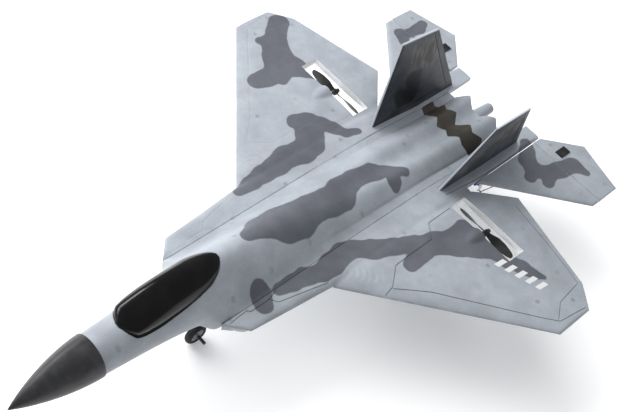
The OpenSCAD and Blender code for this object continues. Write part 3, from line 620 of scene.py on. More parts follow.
# fuselage
fuselage = {
    # x, half width, top, side edge, bottom, roundness of the crown, twin hump
    "rows": [(334, 27.5, 37, 10, -17, 1, 0), (310, 28.5, 40, 9, -20, 1, 0), (285, 30, 43, 9, -23, 1, 0),
             (250, 33, 46, 9, -26, 1, 0), (220, 37, 48, 10, -28, 1, 0), (201, 41, 52, 11, -29, 0.9, 0),
             (188, 54.5, 55, 7, -29, 0.5, 0), (170, 55.5, 58, 6, -30, 0.2, 0), (145, 56, 59, 6, -30, 0, 0),
             (100, 56, 54, 6, -30, 0, 0), (50, 56, 47, 6, -30, 0, 0), (0, 56, 40, 6, -30, 0, 0.1),
             (-60, 56, 32, 6, -29, 0, 0.3), (-120, 56, 24, 5, -28, 0, 0.6), (-180, 56, 18, 3, -26, 0, 0.9),
             (-230, 56, 14, -3, -24, 0, 1), (-285, 56, 11, -9, -22, 0, 1), (-330, 56, 9, -11, -19, 0, 1),
             (-358, 56, 7, -12, -17, 0, 1)],
    # plain and fine spacing of the rings, and where the fine one is used
    "stationStep": (2.6, 1.5), "fineParts": [(325, 400), (182, 206), (-322, -255)],
    "ringPoints": 176, "humpEnd": 0.78,
    "seamRadius": (1.3, 0.25),   # left, right
    "bellyFlat": (5, 140, -29.4),
    "bay": (172, 282, -17, 17, -16, 80), "nosePocket": (148.7, 185.3, -14.3, 14.3, -60, -25.5),
    "outlet": [(0, -343), (10, -342), (26, -357), (38, -349), (56, -349)], "outletFrom": -322,
}


def crownShape(u, roundness, humps):
    u = np.clip(u, 0, 1)
    dome = np.sqrt(1 - u * u)
    bell = (1 - u * u) ** 1.6
    q = np.clip(u / fuselage["humpEnd"], 0, 1)
    hump = (1 - q ** 4) ** 0.7 * (0.66 + 0.34 * np.sin(math.pi * q) ** 2)
    blend = bell + (hump - bell) * humps
    return blend + (dome - blend) * roundness


def fuselageRing(x):
    half, top, side, bottom, roundness, humps = (float(readRows(fuselage["rows"], x, c))
                                                 for c in range(1, 7))
    n = fuselage["ringPoints"] // 2
    c = np.cos(np.pi * np.arange(n) / n)
    upper = side + (top - side) * crownShape(np.abs(c), roundness, humps)
    seamRadius = np.where(c > 0, *fuselage["seamRadius"])
    upper -= rollOff(half * (1 - np.abs(c)), seamRadius) * (1 - roundness)
    keel = np.sqrt(np.clip(1 - np.abs(c) ** 5, 0, 1))
    dome = np.sqrt(np.clip(1 - c * c, 0, 1))
    lower = side - (side - bottom) * (keel + (dome - keel) * roundness)
    x0, x1, flatZ = fuselage["bellyFlat"]
    if x0 <= x <= x1:
        lower = np.maximum(lower, flatZ)
    y = np.concatenate([half * c, -half * c])
    z = np.concatenate([upper, lower])
    place = np.full(len(y), float(x))
    begin = fuselage["outletFrom"]
    if x < begin:                # the last stations follow the pointed outlet edges
        share = (begin - x) / (begin - fuselage["rows"][-1][0])
        ends = np.interp(np.abs(y), *np.array(fuselage["outlet"], float).T)
        place = begin + (ends - begin) * share
    return np.stack([place, y, z + wingPlane], 1)


hood = {
    # x, half width, share of the full height
    "rows": [(300, 3, 0.16), (294, 15, 0.26), (286, 22.5, 0.42), (270, 25, 0.68), (250, 26, 0.88),
             (228, 26, 1), (205, 25.5, 1), (185, 23.3, 0.92), (168, 17, 0.78), (159, 9.6, 0.68),
             (155, 3, 0.6)],
    "height": 25, "seat": (155, 43, 300, 39.5), "sink": 2, "wall": 1.6, "ringPoints": 56, "gap": 0.5,
}


def crownHeight(x, y):
    half, top, side, _, roundness, humps = (float(readRows(fuselage["rows"], x, c)) for c in range(1, 7))
    return side + (top - side) * float(crownShape(abs(y) / half, roundness, humps))


def hoodSizes(x):                # half width, height of the widest line, top, underside
    half = float(readRows(hood["rows"], x, 1))
    x0, z0, x1, z1 = hood["seat"]
    line = z0 + (z1 - z0) * (x - x0) / (x1 - x0)
    crown = crownHeight(x, half)
    seat = max(line, crown + 0.2)
    top = max(line + float(readRows(hood["rows"], x, 2)) * hood["height"], seat + 0.5)
    return half, seat, top, crown - hood["sink"]


def hoodRing(x):
    half, seat, top, low = hoodSizes(x)
    a = np.pi * np.arange(hood["ringPoints"] + 1) / hood["ringPoints"]
    y = np.concatenate([[half], half * np.cos(a), [-half]])
    z = np.concatenate([[low], seat + (top - seat) * np.sin(a), [low]])
    return np.stack([np.full(len(y), float(x)), y, z + wingPlane], 1)


def pocketRing(x):               # upright walls, so that the canopy lifts straight out
    half, _, _, low = hoodSizes(x)
    half, low = half + hood["gap"], low - hood["gap"] + wingPlane
    x += hood["gap"] if x > 230 else -hood["gap"]
    return [(x, half, low), (x, -half, low), (x, -half, 90 + wingPlane), (x, half, 90 + wingPlane)]


hoodStations = [300, 299, 297.5, 296, 294, 292, 290, 288, 286, 283, 280] + list(range(276, 172, -4))
hoodStations += [172, 168, 165, 162, 160, 158.5, 157, 155.8, 155]
pocketRings = [pocketRing(x) for x in hoodStations]
pocket = skinOverRings("pocketCutter", pocketRings)
stations = []
x, rearEnd = float(fuselage["rows"][0][0]), fuselage["rows"][-1][0]
while x > rearEnd:
    stations.append(x)
    fine = any(low < x < high for low, high in fuselage["fineParts"])
    x -= fuselage["stationStep"][1 if fine else 0]
stations.append(rearEnd)
body = skinOverRings("fuselage_foam", [fuselageRing(x) for x in stations], 42)
cutAway(body, [pocket, blockCutter(*fuselage["bay"]), blockCutter(*fuselage["nosePocket"])])


def revolve(profile, around, start, axis, droop=None):
    # profile is (distance along the axis, radius); axis is 0 for X, 1 for Y
    angles = 2 * np.pi * np.arange(around) / around
    rings = []
    for along, radius in profile:
        a, b = radius * np.cos(angles), radius * np.sin(angles)
        drop = 0 if droop is None else droop(along)
        if axis == 0:
            ring = np.stack([np.full(around, start[0] + along), start[1] + a, start[2] + b + drop], 1)
        else:
            ring = np.stack([start[0] + a, np.full(around, start[1] + along), start[2] + b], 1)
        rings.append(ring + (0, 0, wingPlane))
    return rings


sting = {"profile": [(0, 10), (12, 9.6), (24, 9.1), (36, 8.6), (42, 8.2), (44.5, 7.6), (45.6, 6.6),
                     (46, 5.2)],
         "start": (-335, 0, -9), "fall": 0.052}
stingRings = revolve([(-a, r) for a, r in sting["profile"]], 64, sting["start"], 0,
                     lambda a: a * sting["fall"])
stingPiece = skinOverRings("tail_sting_foam", stingRings, 50)
for piece in (body, stingPiece):
    paintFacts(piece)
fit(body, "airframe", "foam", ["fuselage"], foamPainted)
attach(stingPiece, "airframe")
stingPiece.data.materials.append(foamPainted)
print("fuselage done:", len(body.data.vertices), "points")

# nose cone and canopy
coneLook = {"base": 334.3, "tip": 446.0, "radius": 29.0, "z": 10.4, "fall": 3.4, "around": 112}
coneLength = coneLook["tip"] - coneLook["base"]
profile = [(0, 0.5), (0, coneLook["radius"] - 1.2), (0.5, coneLook["radius"] - 0.35)]
for t in [0.012 + 0.988 * k / 60 for k in range(60)] + [0.99, 0.996, 0.999]:
    radius = coneLook["radius"] * max(0, 1 - t ** 1.75) ** 0.92
    profile.append((t * coneLength, max(radius, 0.15)))
cone = skinOverRings("nose_cone_foam", revolve(
    profile, coneLook["around"], (coneLook["base"], 0, coneLook["z"]), 0,
    lambda a: -coneLook["fall"] * (a / coneLength) ** 2), 50)
fit(cone, "airframe", "cone_black", ["nose_cone"], coneBlack)

outer = [hoodRing(x) for x in hoodStations]


def openSkin(name, rings, sharpAngle):   # skin that is open along the ring's ends, with both ends closed
    rings = np.asarray(rings, float)
    m, n = rings.shape[:2]
    faces = [(i * n + j, i * n + j + 1, (i + 1) * n + j + 1, (i + 1) * n + j)
             for i in range(m - 1) for j in range(n - 1)]
    faces += [tuple(range(n - 1, -1, -1)), tuple((m - 1) * n + j for j in range(n))]
    return makeObject(name, rings.reshape(-1, 3) * mm, faces, sharpAngle)


def applyChange(piece, kind, **settings):        # add one modifier and apply it
    change = piece.modifiers.new(kind.lower(), kind)
    for key, value in settings.items():
        setattr(change, key, value)
    bpy.context.view_layer.update()
    done = bpy.data.meshes.new_from_object(piece.evaluated_get(bpy.context.evaluated_depsgraph_get()))
    piece.modifiers.clear()
    old = piece.data
    piece.data = done
    bpy.data.meshes.remove(old)
    return piece


canopy = facesOut(openSkin("canopy_shell", outer, 50))
applyChange(canopy, "SOLIDIFY", thickness=hood["wall"] * mm, offset=-1)
fit(canopy, "canopy", "canopy_black", ["canopy"], canopyBlack)
print("nose cone and canopy done")

# wings
wing = {
    # side, leading edge, trailing edge
    "rows": [(84, 43, -231), (93, 35.5, -231), (117, 15.2, -255), (140.7, -4.8, -279), (190, -46.6, -267),
             (240, -88.9, -255), (287.7, -129.3, -243.6), (304, -143, -230.7), (320, -156.6, -218)],
    # shoulder: x, outer edge, top, middle of the edge, bottom
    "shoulder": [(186, 57.8, 7, 5, -6), (162, 82.7, 6.5, 2.5, -16), (100, 88, 6.5, 0, -18),
                 (34.7, 94, 6.5, -1, -18), (-60, 94, 6.5, -1, -18), (-180, 94, 4, -2, -20),
                 (-231, 86, -2, -6, -22), (-283, 84, -8.5, -12, -22), (-330, 84, -9, -12, -20),
                 (-398, 83, -9, -12, -16)],
    "rootT": 21, "tipT": 8, "middle": -3, "inner": 56.03,
    "slot": [(-212.5, 96), (-182.5, 96), (-182.5, 206), (-212.5, 206)],
    "pods": [(-106, -182.5, 13.5, -11.5), (-150, -182.5, 12.5, -2)], "podY": 151,
    "tipRadius": 3.0, "rearRadius": 1.6, "spacing": 2.5,
    # gear and servo pockets on the left, cut from below: x, y and z from and to
    "pockets": [(-126.3, -93.7, 59.7, 84.3, -60, -14.5), (-288.3, -263.7, 59.7, 99.7, -60, -15.7)],
    "creases": [([(-180, 98), (-136, 99), (-120, 120), (-50, 121), (-25, 141), (-11, 143.5)], 0.75),
                ([(-25, 144), (-60, 176), (-151, 288), (-169, 308), (-215, 314.5)], 0.6),
                ([(-170, 304), (-192, 289), (-234, 284)], 0.6),
                ([(-263, 150), (-254, 207), (-243, 262), (-237, 283)], 0.45),
                ([(177, 61), (149, 58.8), (147, 63), (116, 63), (103, 58.5)], 0.7),
                ([(115, 65), (110, 73), (40, 88)], 0.6),
                ([(-195, 79), (-244, 81.5), (-309, 82.5), (-390, 81)], 1.1)],
    "creaseDepth": (0.85, 0.2),  # left, right
    # painted shade in the creases, left and right: strong on the shaded left wing, faint on the lit right
    # one
    "creasePaintedShade": (1.0, 0.08),
    "ripple": {"pitch": 8.5, "height": 0.30, "reach": 36, "from": (30, 92), "to": (-8, 140)},
}


def wingHeights(x, y, side):
    seamRadius = fuselage["seamRadius"][0 if side > 0 else 1]
    rows = wing["rows"]
    lead = np.interp(y, [r[0] for r in rows], [r[1] for r in rows])
    rear = np.interp(y, [r[0] for r in rows], [r[2] for r in rows])
    c = np.clip((lead - x) / (lead - rear), 0, 1)
    thick = wing["rootT"] + (wing["tipT"] - wing["rootT"]) * (y - 84) / 236
    foil = np.where(c < 0.25, np.sqrt(np.clip(1 - (1 - c / 0.25) ** 2, 0, 1)),
                    1 - 0.82 * np.clip((c - 0.25) / 0.75, 0, 1) ** 2.6)
    middle = wing["middle"] * thick / wing["rootT"]
    edge = distanceTo([[(-156.6, 320), (-218, 320)]], x, y)
    tip = 1 - rollOff(edge, wing["tipRadius"]) / wing["tipRadius"]
    rearLine = [[(r[2], r[0]) for r in rows if r[0] > 92]]
    back = 1 - 0.8 * rollOff(distanceTo(rearLine, x, y), wing["rearRadius"]) / wing["rearRadius"]
    half = thick / 2 * foil * tip * back
    top, bottom = middle + half, middle - half
    inWing = (y >= 84) & (x <= lead) & (x >= rear)
    # shoulder
    rows = wing["shoulder"]
    outer, high, mid, low = (np.interp(x, [r[0] for r in rows[::-1]], [r[k] for r in rows[::-1]])
                             for k in range(1, 5))
    v = np.clip((y - wing["inner"]) / np.maximum(outer - wing["inner"], 0.5), 0, 1)
    crown = np.where(v < 0.7, 1, np.sqrt(np.clip(1 - ((v - 0.7) / 0.3) ** 2, 0, 1)))
    keel = np.where(v < 0.5, 1, 0.5 + 0.5 * np.cos(math.pi * (v - 0.5) / 0.5))
    sTop = mid + (high - mid) * crown - rollOff(y - wing["inner"], seamRadius)
    sBottom = mid - (mid - low) * keel
    inShoulder = y <= outer + 1e-6
    fade = smoothStep((y - 84) / 22)
    wTop = top - (1 - fade) * 1.8
    wBottom = bottom + (1 - fade) * 1.8
    outTop = np.where(inShoulder & inWing, smoothMax(sTop, wTop, 1.5), np.where(inWing, wTop, sTop))
    outBottom = np.where(inShoulder & inWing, -smoothMax(-sBottom, -wBottom, 1.5),
                         np.where(inWing, wBottom, sBottom))
    # motor fairings
    for front, back, radius, z in wing["pods"]:
        t = np.clip((x - back) / (front - back), 0, 1)
        r = radius * np.sqrt(1 - t * t)
        q = np.clip(r * r - (y - wing["podY"]) ** 2, 0, None)
        here = (x <= front) & (x >= back - 0.01) & (q > 0)
        bump = np.where(here, z + np.sqrt(q), -99)
        outTop = np.where(here, smoothMax(outTop, bump, 2.2), outTop)
        under = np.where(here, z - np.sqrt(q), 99)
        outBottom = np.where(here, -smoothMax(-outBottom, -under, 2.2), outBottom)
    # moulded ripples beside the root's leading edge
    ripple = wing["ripple"]
    (ax, ay), (bx, by) = ripple["from"], ripple["to"]
    length = math.dist((ax, ay), (bx, by))
    ux, uy = (bx - ax) / length, (by - ay) / length
    along = (x - ax) * ux + (y - ay) * uy
    inward = (x - ax) * -uy + (y - ay) * ux
    inward = np.abs(inward)
    curve = along + (inward - ripple["reach"] / 2) ** 2 / 26
    mask = smoothStep(along / 6) * smoothStep((length - along) / 6) * smoothStep((inward - 4) / 8)
    mask *= smoothStep((ripple["reach"] - inward) / 10) * ((y > 84) & (x > -60))
    outTop = outTop + ripple["height"] * mask * np.sin(2 * math.pi * curve / ripple["pitch"])
    groove = np.zeros(np.shape(x))
    for line, width in wing["creases"]:
        groove = np.maximum(groove, 1 - distanceTo([line], x, y) / width)
    groove = np.clip(groove, 0, 1)
    outTop = outTop - wing["creaseDepth"][0 if side > 0 else 1] * groove
    return outTop, np.minimum(outBottom, outTop - 0.05), groove


wingOutline = ([(186, 56.15), (186, 57.8), (162, 82.7), (100, 88), (34.7, 93.9)]
               + [(r[1], r[0]) for r in wing["rows"][2:]]
               + [(r[2], r[0]) for r in wing["rows"][:1:-1]]
               + [(-231, 93), (-231, 86), (-283, 84), (-330, 84), (-398, 83), (-398, 56.15)])
wingSpots, wingFaces = netInside(wingOutline, [wing["slot"]], wing["creases"], wing["spacing"],
                                 (0.3, 0.9, 1.8, 3.2), 2.4)


def bareSlotWalls(piece, side):  # the walls of the slot are cut foam, without paint
    (x0, y0), (x1, y1) = wing["slot"][0], wing["slot"][2]
    for face in piece.data.polygons:
        x, y, z = face.center / mm
        onSlot = x0 - 0.2 < x < x1 + 0.2 and y0 - 0.2 < side * y < y1 + 0.2
        if onSlot and abs(face.normal.z) < 0.4:
            face.material_index = 1


for name, side in (("left", 1), ("right", -1)):
    wingTop, wingBottom, _ = wingHeights(wingSpots[:, 0], wingSpots[:, 1], side)
    piece = slabFromNet("wing_foam_" + name, wingSpots, wingFaces, wingTop, wingBottom,
                        planPlace(side), side)
    cutAway(piece, [blockCutter(x0, x1, *sorted((side * y0, side * y1)), z0, z1)
                    for x0, x1, y0, y1, z0, z1 in wing["pockets"]])
    x, y, z = vertexPlaces(piece).T
    topHere, _, groove = wingHeights(x, np.abs(y), side)
    # the creases on the top skin get painted shade
    paintFacts(piece, creaseShade=groove * (z > topHere - 0.3) * wing["creasePaintedShade"][0 if side > 0 else 1])
    fit(piece, "airframe", "foam", ["wing_" + name], foamPainted, foamBare)
    bareSlotWalls(piece, side)
print("wings done:", len(wingSpots), "points a skin")

# tailplane and elevators
tail = {"z": -12, "hinge": -385.5, "noseR": 3.2, "thick": 7, "tipThick": 5.5,
        "stab": [(-257, 85.6), (-369, 211.5), (-381.9, 211.5), (-381.9, 85.6)], "leadRadius": 7,
        "elevator": [(-382.35, 84.6), (-400, 84.6), (-445.9, 133.2), (-435, 172), (-424.5, 211.5),
                     (-382.35, 211.5)],
        "rearHalf": 1.2, "spacing": 2.6,
        # foam left bare along the hinge: from which side, its line on tailplane and elevator, fade
        "bareFrom": 96, "bareLines": (-381.9, -382.4), "bareFade": 3}


def stabHeights(x, y):
    t = tail["thick"] + (tail["tipThick"] - tail["thick"]) * np.clip((y - 86) / 125.5, 0, 1)
    lead, tipLine = tail["stab"][0:2], tail["stab"][1:3]
    q = 1 - rollOff(distanceTo([lead], x, y), tail["leadRadius"]) / tail["leadRadius"]
    q *= 1 - rollOff(distanceTo([tipLine], x, y), 2.4) / 2.4
    half = np.maximum(t / 2 * q, 0.12)
    half = half - rollOff(distanceTo([tail["stab"][2:4]], x, y), 1.0) * 0.8
    return tail["z"] + half, tail["z"] - half


def elevatorHeights(x, y):
    rear = np.interp(y, [84.6, 133.2, 172, 211.5], [-400, -445.9, -435, -424.5])
    d = np.clip((tail["hinge"] - x) / (tail["hinge"] - rear), 0, 1)
    flat = tail["noseR"] + (tail["rearHalf"] - tail["noseR"]) * d
    nose = np.sqrt(np.clip(tail["noseR"] ** 2 - np.clip(x - tail["hinge"], 0, None) ** 2, 0, None))
    half = np.where(x > tail["hinge"], nose, flat)
    loop = tail["elevator"]
    ends = [loop[1:5], loop[4:6], loop[0:2]]
    half = half - rollOff(distanceTo(ends, x, y), 1.1) * 0.8
    return tail["z"] + np.maximum(half, 0.1), tail["z"] - np.maximum(half, 0.1)


def bareAlongHinge(distance, y):
    return np.where(np.abs(y) > tail["bareFrom"], distance * tail["bareFade"], farOff)


stabSpots, stabFaces = netInside(tail["stab"], [], [], tail["spacing"], (0.3, 0.9, 1.9, 3.4, 5.2), 2.4)
elevSpots, elevFaces = netInside(tail["elevator"], [], [], tail["spacing"], (0.25, 0.7, 1.3, 2.1, 3.0), 2.2)
stabTop, stabBottom = stabHeights(stabSpots[:, 0], stabSpots[:, 1])
elevTop, elevBottom = elevatorHeights(elevSpots[:, 0], elevSpots[:, 1])
for name, side in (("left", 1), ("right", -1)):
    piece = slabFromNet("tailplane_foam_" + name, stabSpots, stabFaces, stabTop, stabBottom,
                        planPlace(side), side)
    x, y, z = vertexPlaces(piece).T
    paintFacts(piece, rim=bareAlongHinge(x - tail["bareLines"][0], y))
    fit(piece, "airframe", "foam", ["stab_" + name], foamPainted)
    piece = slabFromNet("elevator_foam_" + name, elevSpots, elevFaces, elevTop, elevBottom,
                        planPlace(side), side)
    x, y, z = vertexPlaces(piece).T
    paintFacts(piece, rim=bareAlongHinge(tail["bareLines"][1] - x, y))
    fit(piece, "elevator_" + name, "foam", ["elevator_" + name], foamPainted)
print("tail done")

# fins
fin = {"outline": [(-187, -9), (-190, 1.5), (-232, 125), (-306, 117), (-359, 0.5), (-364, -11)],
       "rootT": 6, "tipT": 3.5, "height": 125, "spacing": 3.0,
       "creases": [([(-297, 113), (-343, 4)], 0.6)], "creaseDepth": 0.5,
       # width of the painted shade along the crease and along the root
       "creasePaintedShade": 0.8, "baseLine": [(-195, 3.5), (-358, 2.5)], "rootPaintedShade": 2.5, "leadInset": 0.8}
# line is the colour of the painted shade along the fin's crease and root
finLook = {"film": "#3f434b", "filmTwo": "#2d3036", "blot": "#0f1012", "streak": "#675f58",
           "edge": "#b6bcc4", "line": "#101113"}
finBlots = [[(-238, 36, 10), (-249, 25, 14), (-265, 22, 13), (-271, 34, 10), (-262, 53, 12), (-276, 56, 8)],
            [(-296, 97, 5), (-290, 78, 6), (-297, 66, 4)]]


def finSide(h):
    return np.where(h > 1.5, 67 + (h - 1.5) * 20.8 / 123.5, 65.6 + (h + 9) * 1.4 / 10.5)


def finHalf(x, h):
    t = fin["rootT"] + (fin["tipT"] - fin["rootT"]) * np.clip(h / fin["height"], 0, 1)
    outline = fin["outline"]
    half = t / 2 - rollOff(distanceTo([outline[0:3]], x, h), 2.2) * 0.75
    half -= rollOff(distanceTo([outline[2:6]], x, h), 1.2) * 0.8
    groove = np.clip(1 - distanceTo([fin["creases"][0][0]], x, h) / fin["creases"][0][1], 0, 1)
    return np.maximum(half - fin["creaseDepth"] * groove, 0.3)


# EPO fin with a printed vinyl film on each face: dark matt print with soft blotches and upright
# streaks, painted shade along the crease and the root, and the pale sprayed foam showing round its rim
def filmedFin(name, look):
    material, tree, shader, place = startMaterial(name, 0.42, 1.46)
    facts = {key: addNode(tree, "ShaderNodeAttribute", {"attribute_name": key}).outputs["Fac"]
             for key in ("camo", "rim", "creaseShade", "streak")}
    cloud = addNode(tree, "ShaderNodeTexNoise", {"Scale": cells(26), "Detail": 5.0}, {"Vector": place})
    tone = addNode(tree, "ShaderNodeMapRange", {"From Min": 0.38, "From Max": 0.62},
                   {"Value": cloud.outputs["Fac"]}).outputs[0]
    film = addNode(tree, "ShaderNodeMix", {"data_type": "RGBA", 6: linearColour(look["film"]),
                                           7: linearColour(look["filmTwo"])}, {0: tone}).outputs[2]
    ways = addNode(tree, "ShaderNodeMapping", {"Scale": (1, 1, 0.10)}, {"Vector": place}).outputs[0]
    rain = addNode(tree, "ShaderNodeTexNoise", {"Scale": cells(5), "Detail": 5.0}, {"Vector": ways})
    lines = addNode(tree, "ShaderNodeMapRange", {"From Min": 0.42, "From Max": 0.62},
                    {"Value": rain.outputs["Fac"]}).outputs[0]
    amount = addNode(tree, "ShaderNodeMath", {"operation": "MULTIPLY"}, {0: lines, 1: facts["streak"]})
    film = addNode(tree, "ShaderNodeMix", {"data_type": "RGBA", 7: linearColour(look["streak"])},
                   {0: amount.outputs[0], 6: film}).outputs[2]
    isBlot = addNode(tree, "ShaderNodeMapRange", {"From Min": -2.0, "From Max": 2.0, "To Max": 0.92},
                     {"Value": facts["camo"]}).outputs[0]
    film = addNode(tree, "ShaderNodeMix", {"data_type": "RGBA", 7: linearColour(look["blot"])},
                   {0: isBlot, 6: film}).outputs[2]
    # painted shade along the crease and the root
    film = addNode(tree, "ShaderNodeMix", {"data_type": "RGBA", 7: linearColour(look["line"])},
                   {0: facts["creaseShade"], 6: film}).outputs[2]
    onFilm = addNode(tree, "ShaderNodeMapRange", {"From Min": 1.1, "From Max": 1.6},
                     {"Value": facts["rim"]}).outputs[0]
    final = addNode(tree, "ShaderNodeMix", {"data_type": "RGBA", 6: linearColour(look["edge"])},
                    {0: onFilm, 7: film}).outputs[2]
    tree.links.new(final, shader.inputs["Base Color"])
    rough = addNode(tree, "ShaderNodeMapRange", {"To Min": 0.34, "To Max": 0.52},
                    {"Value": cloud.outputs["Fac"]})
    tree.links.new(rough.outputs[0], shader.inputs["Roughness"])
    beads = addNode(tree, "ShaderNodeTexVoronoi", {"feature": "DISTANCE_TO_EDGE", "Scale": cells(2.9)},
                    {"Vector": place})
    bump = addNode(tree, "ShaderNodeBump", {"Strength": 0.5, "Distance": 0.1 * mm},
                   {"Height": beads.outputs["Distance"]})
    tree.links.new(bump.outputs[0], shader.inputs["Normal"])
    return material


finFilm = filmedFin("epoFinVinylFilm", finLook)
finSpots, finFaces = netInside(fin["outline"], [], fin["creases"], fin["spacing"], (0.3, 0.9, 1.7, 2.8), 2.6)
finThick = finHalf(finSpots[:, 0], finSpots[:, 1])
for name, side in (("left", 1), ("right", -1)):
    piece = slabFromNet("fin_foam_" + name, finSpots, finFaces, finThick, -finThick,
                        lambda u, v, w: (u * mm, side * (float(finSide(v)) + w) * mm,
                                         (v + wingPlane) * mm), -side)
    facesOut(piece)
    x, y, z = vertexPlaces(piece).T
    lead, crown = fin["outline"][0:3], fin["outline"][2:4]
    rim = np.minimum(distanceTo([lead], x, z) + fin["leadInset"], distanceTo([crown], x, z))
    # painted shade along the fin's crease and along its root
    crease = distanceTo([fin["creases"][0][0]], x, z) / fin["creasePaintedShade"]
    base = distanceTo([fin["baseLine"]], x, z) / fin["rootPaintedShade"]
    setFact(piece, "camo", camoDepth(finBlots, x, z))
    setFact(piece, "rim", rim)
    setFact(piece, "creaseShade", np.clip(1 - np.minimum(crease, base), 0, 1))
    setFact(piece, "streak", smoothStep((z - 48) / 20) * smoothStep((x + 318) / 12)
            * smoothStep((-246 - x) / 14) * smoothStep((114 - z) / 8))
    fit(piece, "airframe", "foam_dark", ["fin_" + name], finFilm)
print("fins done")

# wheels
wheel = {"radius": 16.5, "width": 11, "seat": 10.0, "height": 16.5 - 130, "around": 96,
         "places": {"nose": ("nose_wheel", 165, 0), "main_left": ("main_wheel_left", -114, 95.5),
                    "main_right": ("main_wheel_right", -114, -95.5)}}


def tyreProfile():               # closed loop of (across, radius) with two shallow tread grooves
    half, outerR, seat = wheel["width"] / 2, wheel["radius"], wheel["seat"]
    loop = [(-half + 1.5, seat), (-half + 0.6, seat + 0.4), (-half + 0.1, seat + 1.6)]
    for k in range(25):
        a = math.pi * k / 24
        across = -(half - 0.05) * math.cos(a)
        radius = outerR - 5 + 5 * math.sin(a)
        if 3.4 < abs(abs(across) * 2 - 0.5) < 4.3:
            radius -= 0.45
        loop.append((across, radius))
    loop += [(half - 0.1, seat + 1.6), (half - 0.6, seat + 0.4), (half - 1.5, seat)]
    return loop


def tyre(name, x, y):
    loop = tyreProfile()
    n, around = len(loop), wheel["around"]
    verts, faces = [], []
    for i in range(around):
        a = 2 * math.pi * i / around
        for across, radius in loop:
            verts.append(((x + radius * math.cos(a)) * mm, (y + across) * mm,
                          (wheel["height"] + radius * math.sin(a) + wingPlane) * mm))
    for i in range(around):
        k = (i + 1) % around
        faces += [(i * n + j, i * n + (j + 1) % n, k * n + (j + 1) % n, k * n + j) for j in range(n)]
    return facesOut(makeObject(name, verts, faces, 45))


for name, (bodyName, x, y) in wheel["places"].items():
    piece = tyre("tyre_" + name, x, y)
    cadName = "nose_tyre" if name == "nose" else "main_tyre_" + name.split("_")[1]
    fit(piece, bodyName, "rubber", [cadName], tyreRubber)
print("wheels done")

# propellers
prop = {"radius": 49, "pitch": 76, "chord": 15, "x": -203, "y": 151, "z": -11.5, "hubR": 4.5, "bore": 1.02,
        # share of the radius, share of the chord, thickness
        "blade": [(0.07, 0.42, 2.6), (0.2, 0.6, 2.2), (0.4, 0.95, 1.7), (0.6, 1, 1.4), (0.8, 0.84, 1.1),
                  (0.94, 0.58, 0.9), (0.985, 0.36, 0.8), (1, 0.12, 0.6)], "stations": 34, "around": 24}


def bladeRings():
    rings = []
    for i in range(prop["stations"] + 1):
        share = 0.07 + 0.93 * math.sin(math.pi / 2 * i / prop["stations"])
        chord = float(readRows(prop["blade"], share, 1)) * prop["chord"]
        thick = float(readRows(prop["blade"], share, 2))
        r = share * prop["radius"]
        b = min(math.radians(50), math.atan(prop["pitch"] / (2 * math.pi * r)))
        a = 2 * np.pi * np.arange(prop["around"]) / prop["around"]
        q = 0.5 * np.cos(a)
        h = np.where(np.sin(a) >= 0, np.sin(a) * thick * 0.45, np.sin(a) * thick * 0.22)
        rings.append(np.stack([q * chord * math.sin(b) - h * math.cos(b), np.full(len(a), r),
                               q * chord * math.cos(b) + h * math.sin(b)], 1))
    return np.array(rings)


hubProfile = [(-3.5, prop["bore"]), (-3.5, 3.9), (-3.1, 4.35), (-2.4, prop["hubR"]), (2.4, prop["hubR"]),
              (3.1, 4.35), (3.5, 3.9), (3.5, prop["bore"])]
for name, side in (("left", 1), ("right", -1)):
    parts = []
    for turn in (1, -1):
        rings = bladeRings() * (1, turn, -turn)
        rings = rings * (1, side, 1) + (prop["x"], side * prop["y"], prop["z"] + wingPlane)
        parts.append(skinOverRings("blade", rings, 50))
    hub = revolve(hubProfile, 48, (prop["x"], side * prop["y"], prop["z"]), 0)
    hub.append(hub[0])
    parts.append(skinOverRings("hub", hub, 40, False, False))
    piece = joinPieces(parts, "propeller_moulded_" + name)
    fit(piece, "prop_" + name, "prop_black", ["propeller_" + name], propBlack)
print("propellers done")

# battery, strap and left wing mark
battery = {"x": (200, 266), "y": 14, "z": (-14, 6), "round": 3.2, "cells": 2}


def roundedBar(name, x0, x1, halfY, z0, z1, radius, bulge):     # soft-edged pack with slightly full faces
    rings = []
    corners = []
    for cy, cz, start in ((halfY - radius, z1 - radius, 0), (-(halfY - radius), z1 - radius, 90),
                          (-(halfY - radius), z0 + radius, 180), (halfY - radius, z0 + radius, 270)):
        corners += [(cy + radius * math.cos(math.radians(start + d)),
                     cz + radius * math.sin(math.radians(start + d))) for d in range(0, 91, 15)]
    loop = np.array(corners)
    centre = np.array([0, (z0 + z1) / 2])
    for i in range(41):
        t = i / 40
        e = min(t, 1 - t) * (x1 - x0)
        shrink = rollOff(np.array(e), radius) * 0.9
        waist = bulge * math.cos(2 * math.pi * battery["cells"] * (t - 0.5)) if 0.04 < t < 0.96 else 0
        size = 1 - (float(shrink) + 0.25 - waist * 0.25) / halfY
        ring = centre + (loop - centre) * size
        rings.append(np.stack([np.full(len(ring), x0 + (x1 - x0) * t), ring[:, 0],
                               ring[:, 1] + wingPlane], 1))
    return skinOverRings(name, rings, 50)


pack = roundedBar("battery_wrapped", *battery["x"], battery["y"], *battery["z"], battery["round"], 0.5)
fit(pack, "airframe", "cell_wrap", ["battery"], cellWrap)

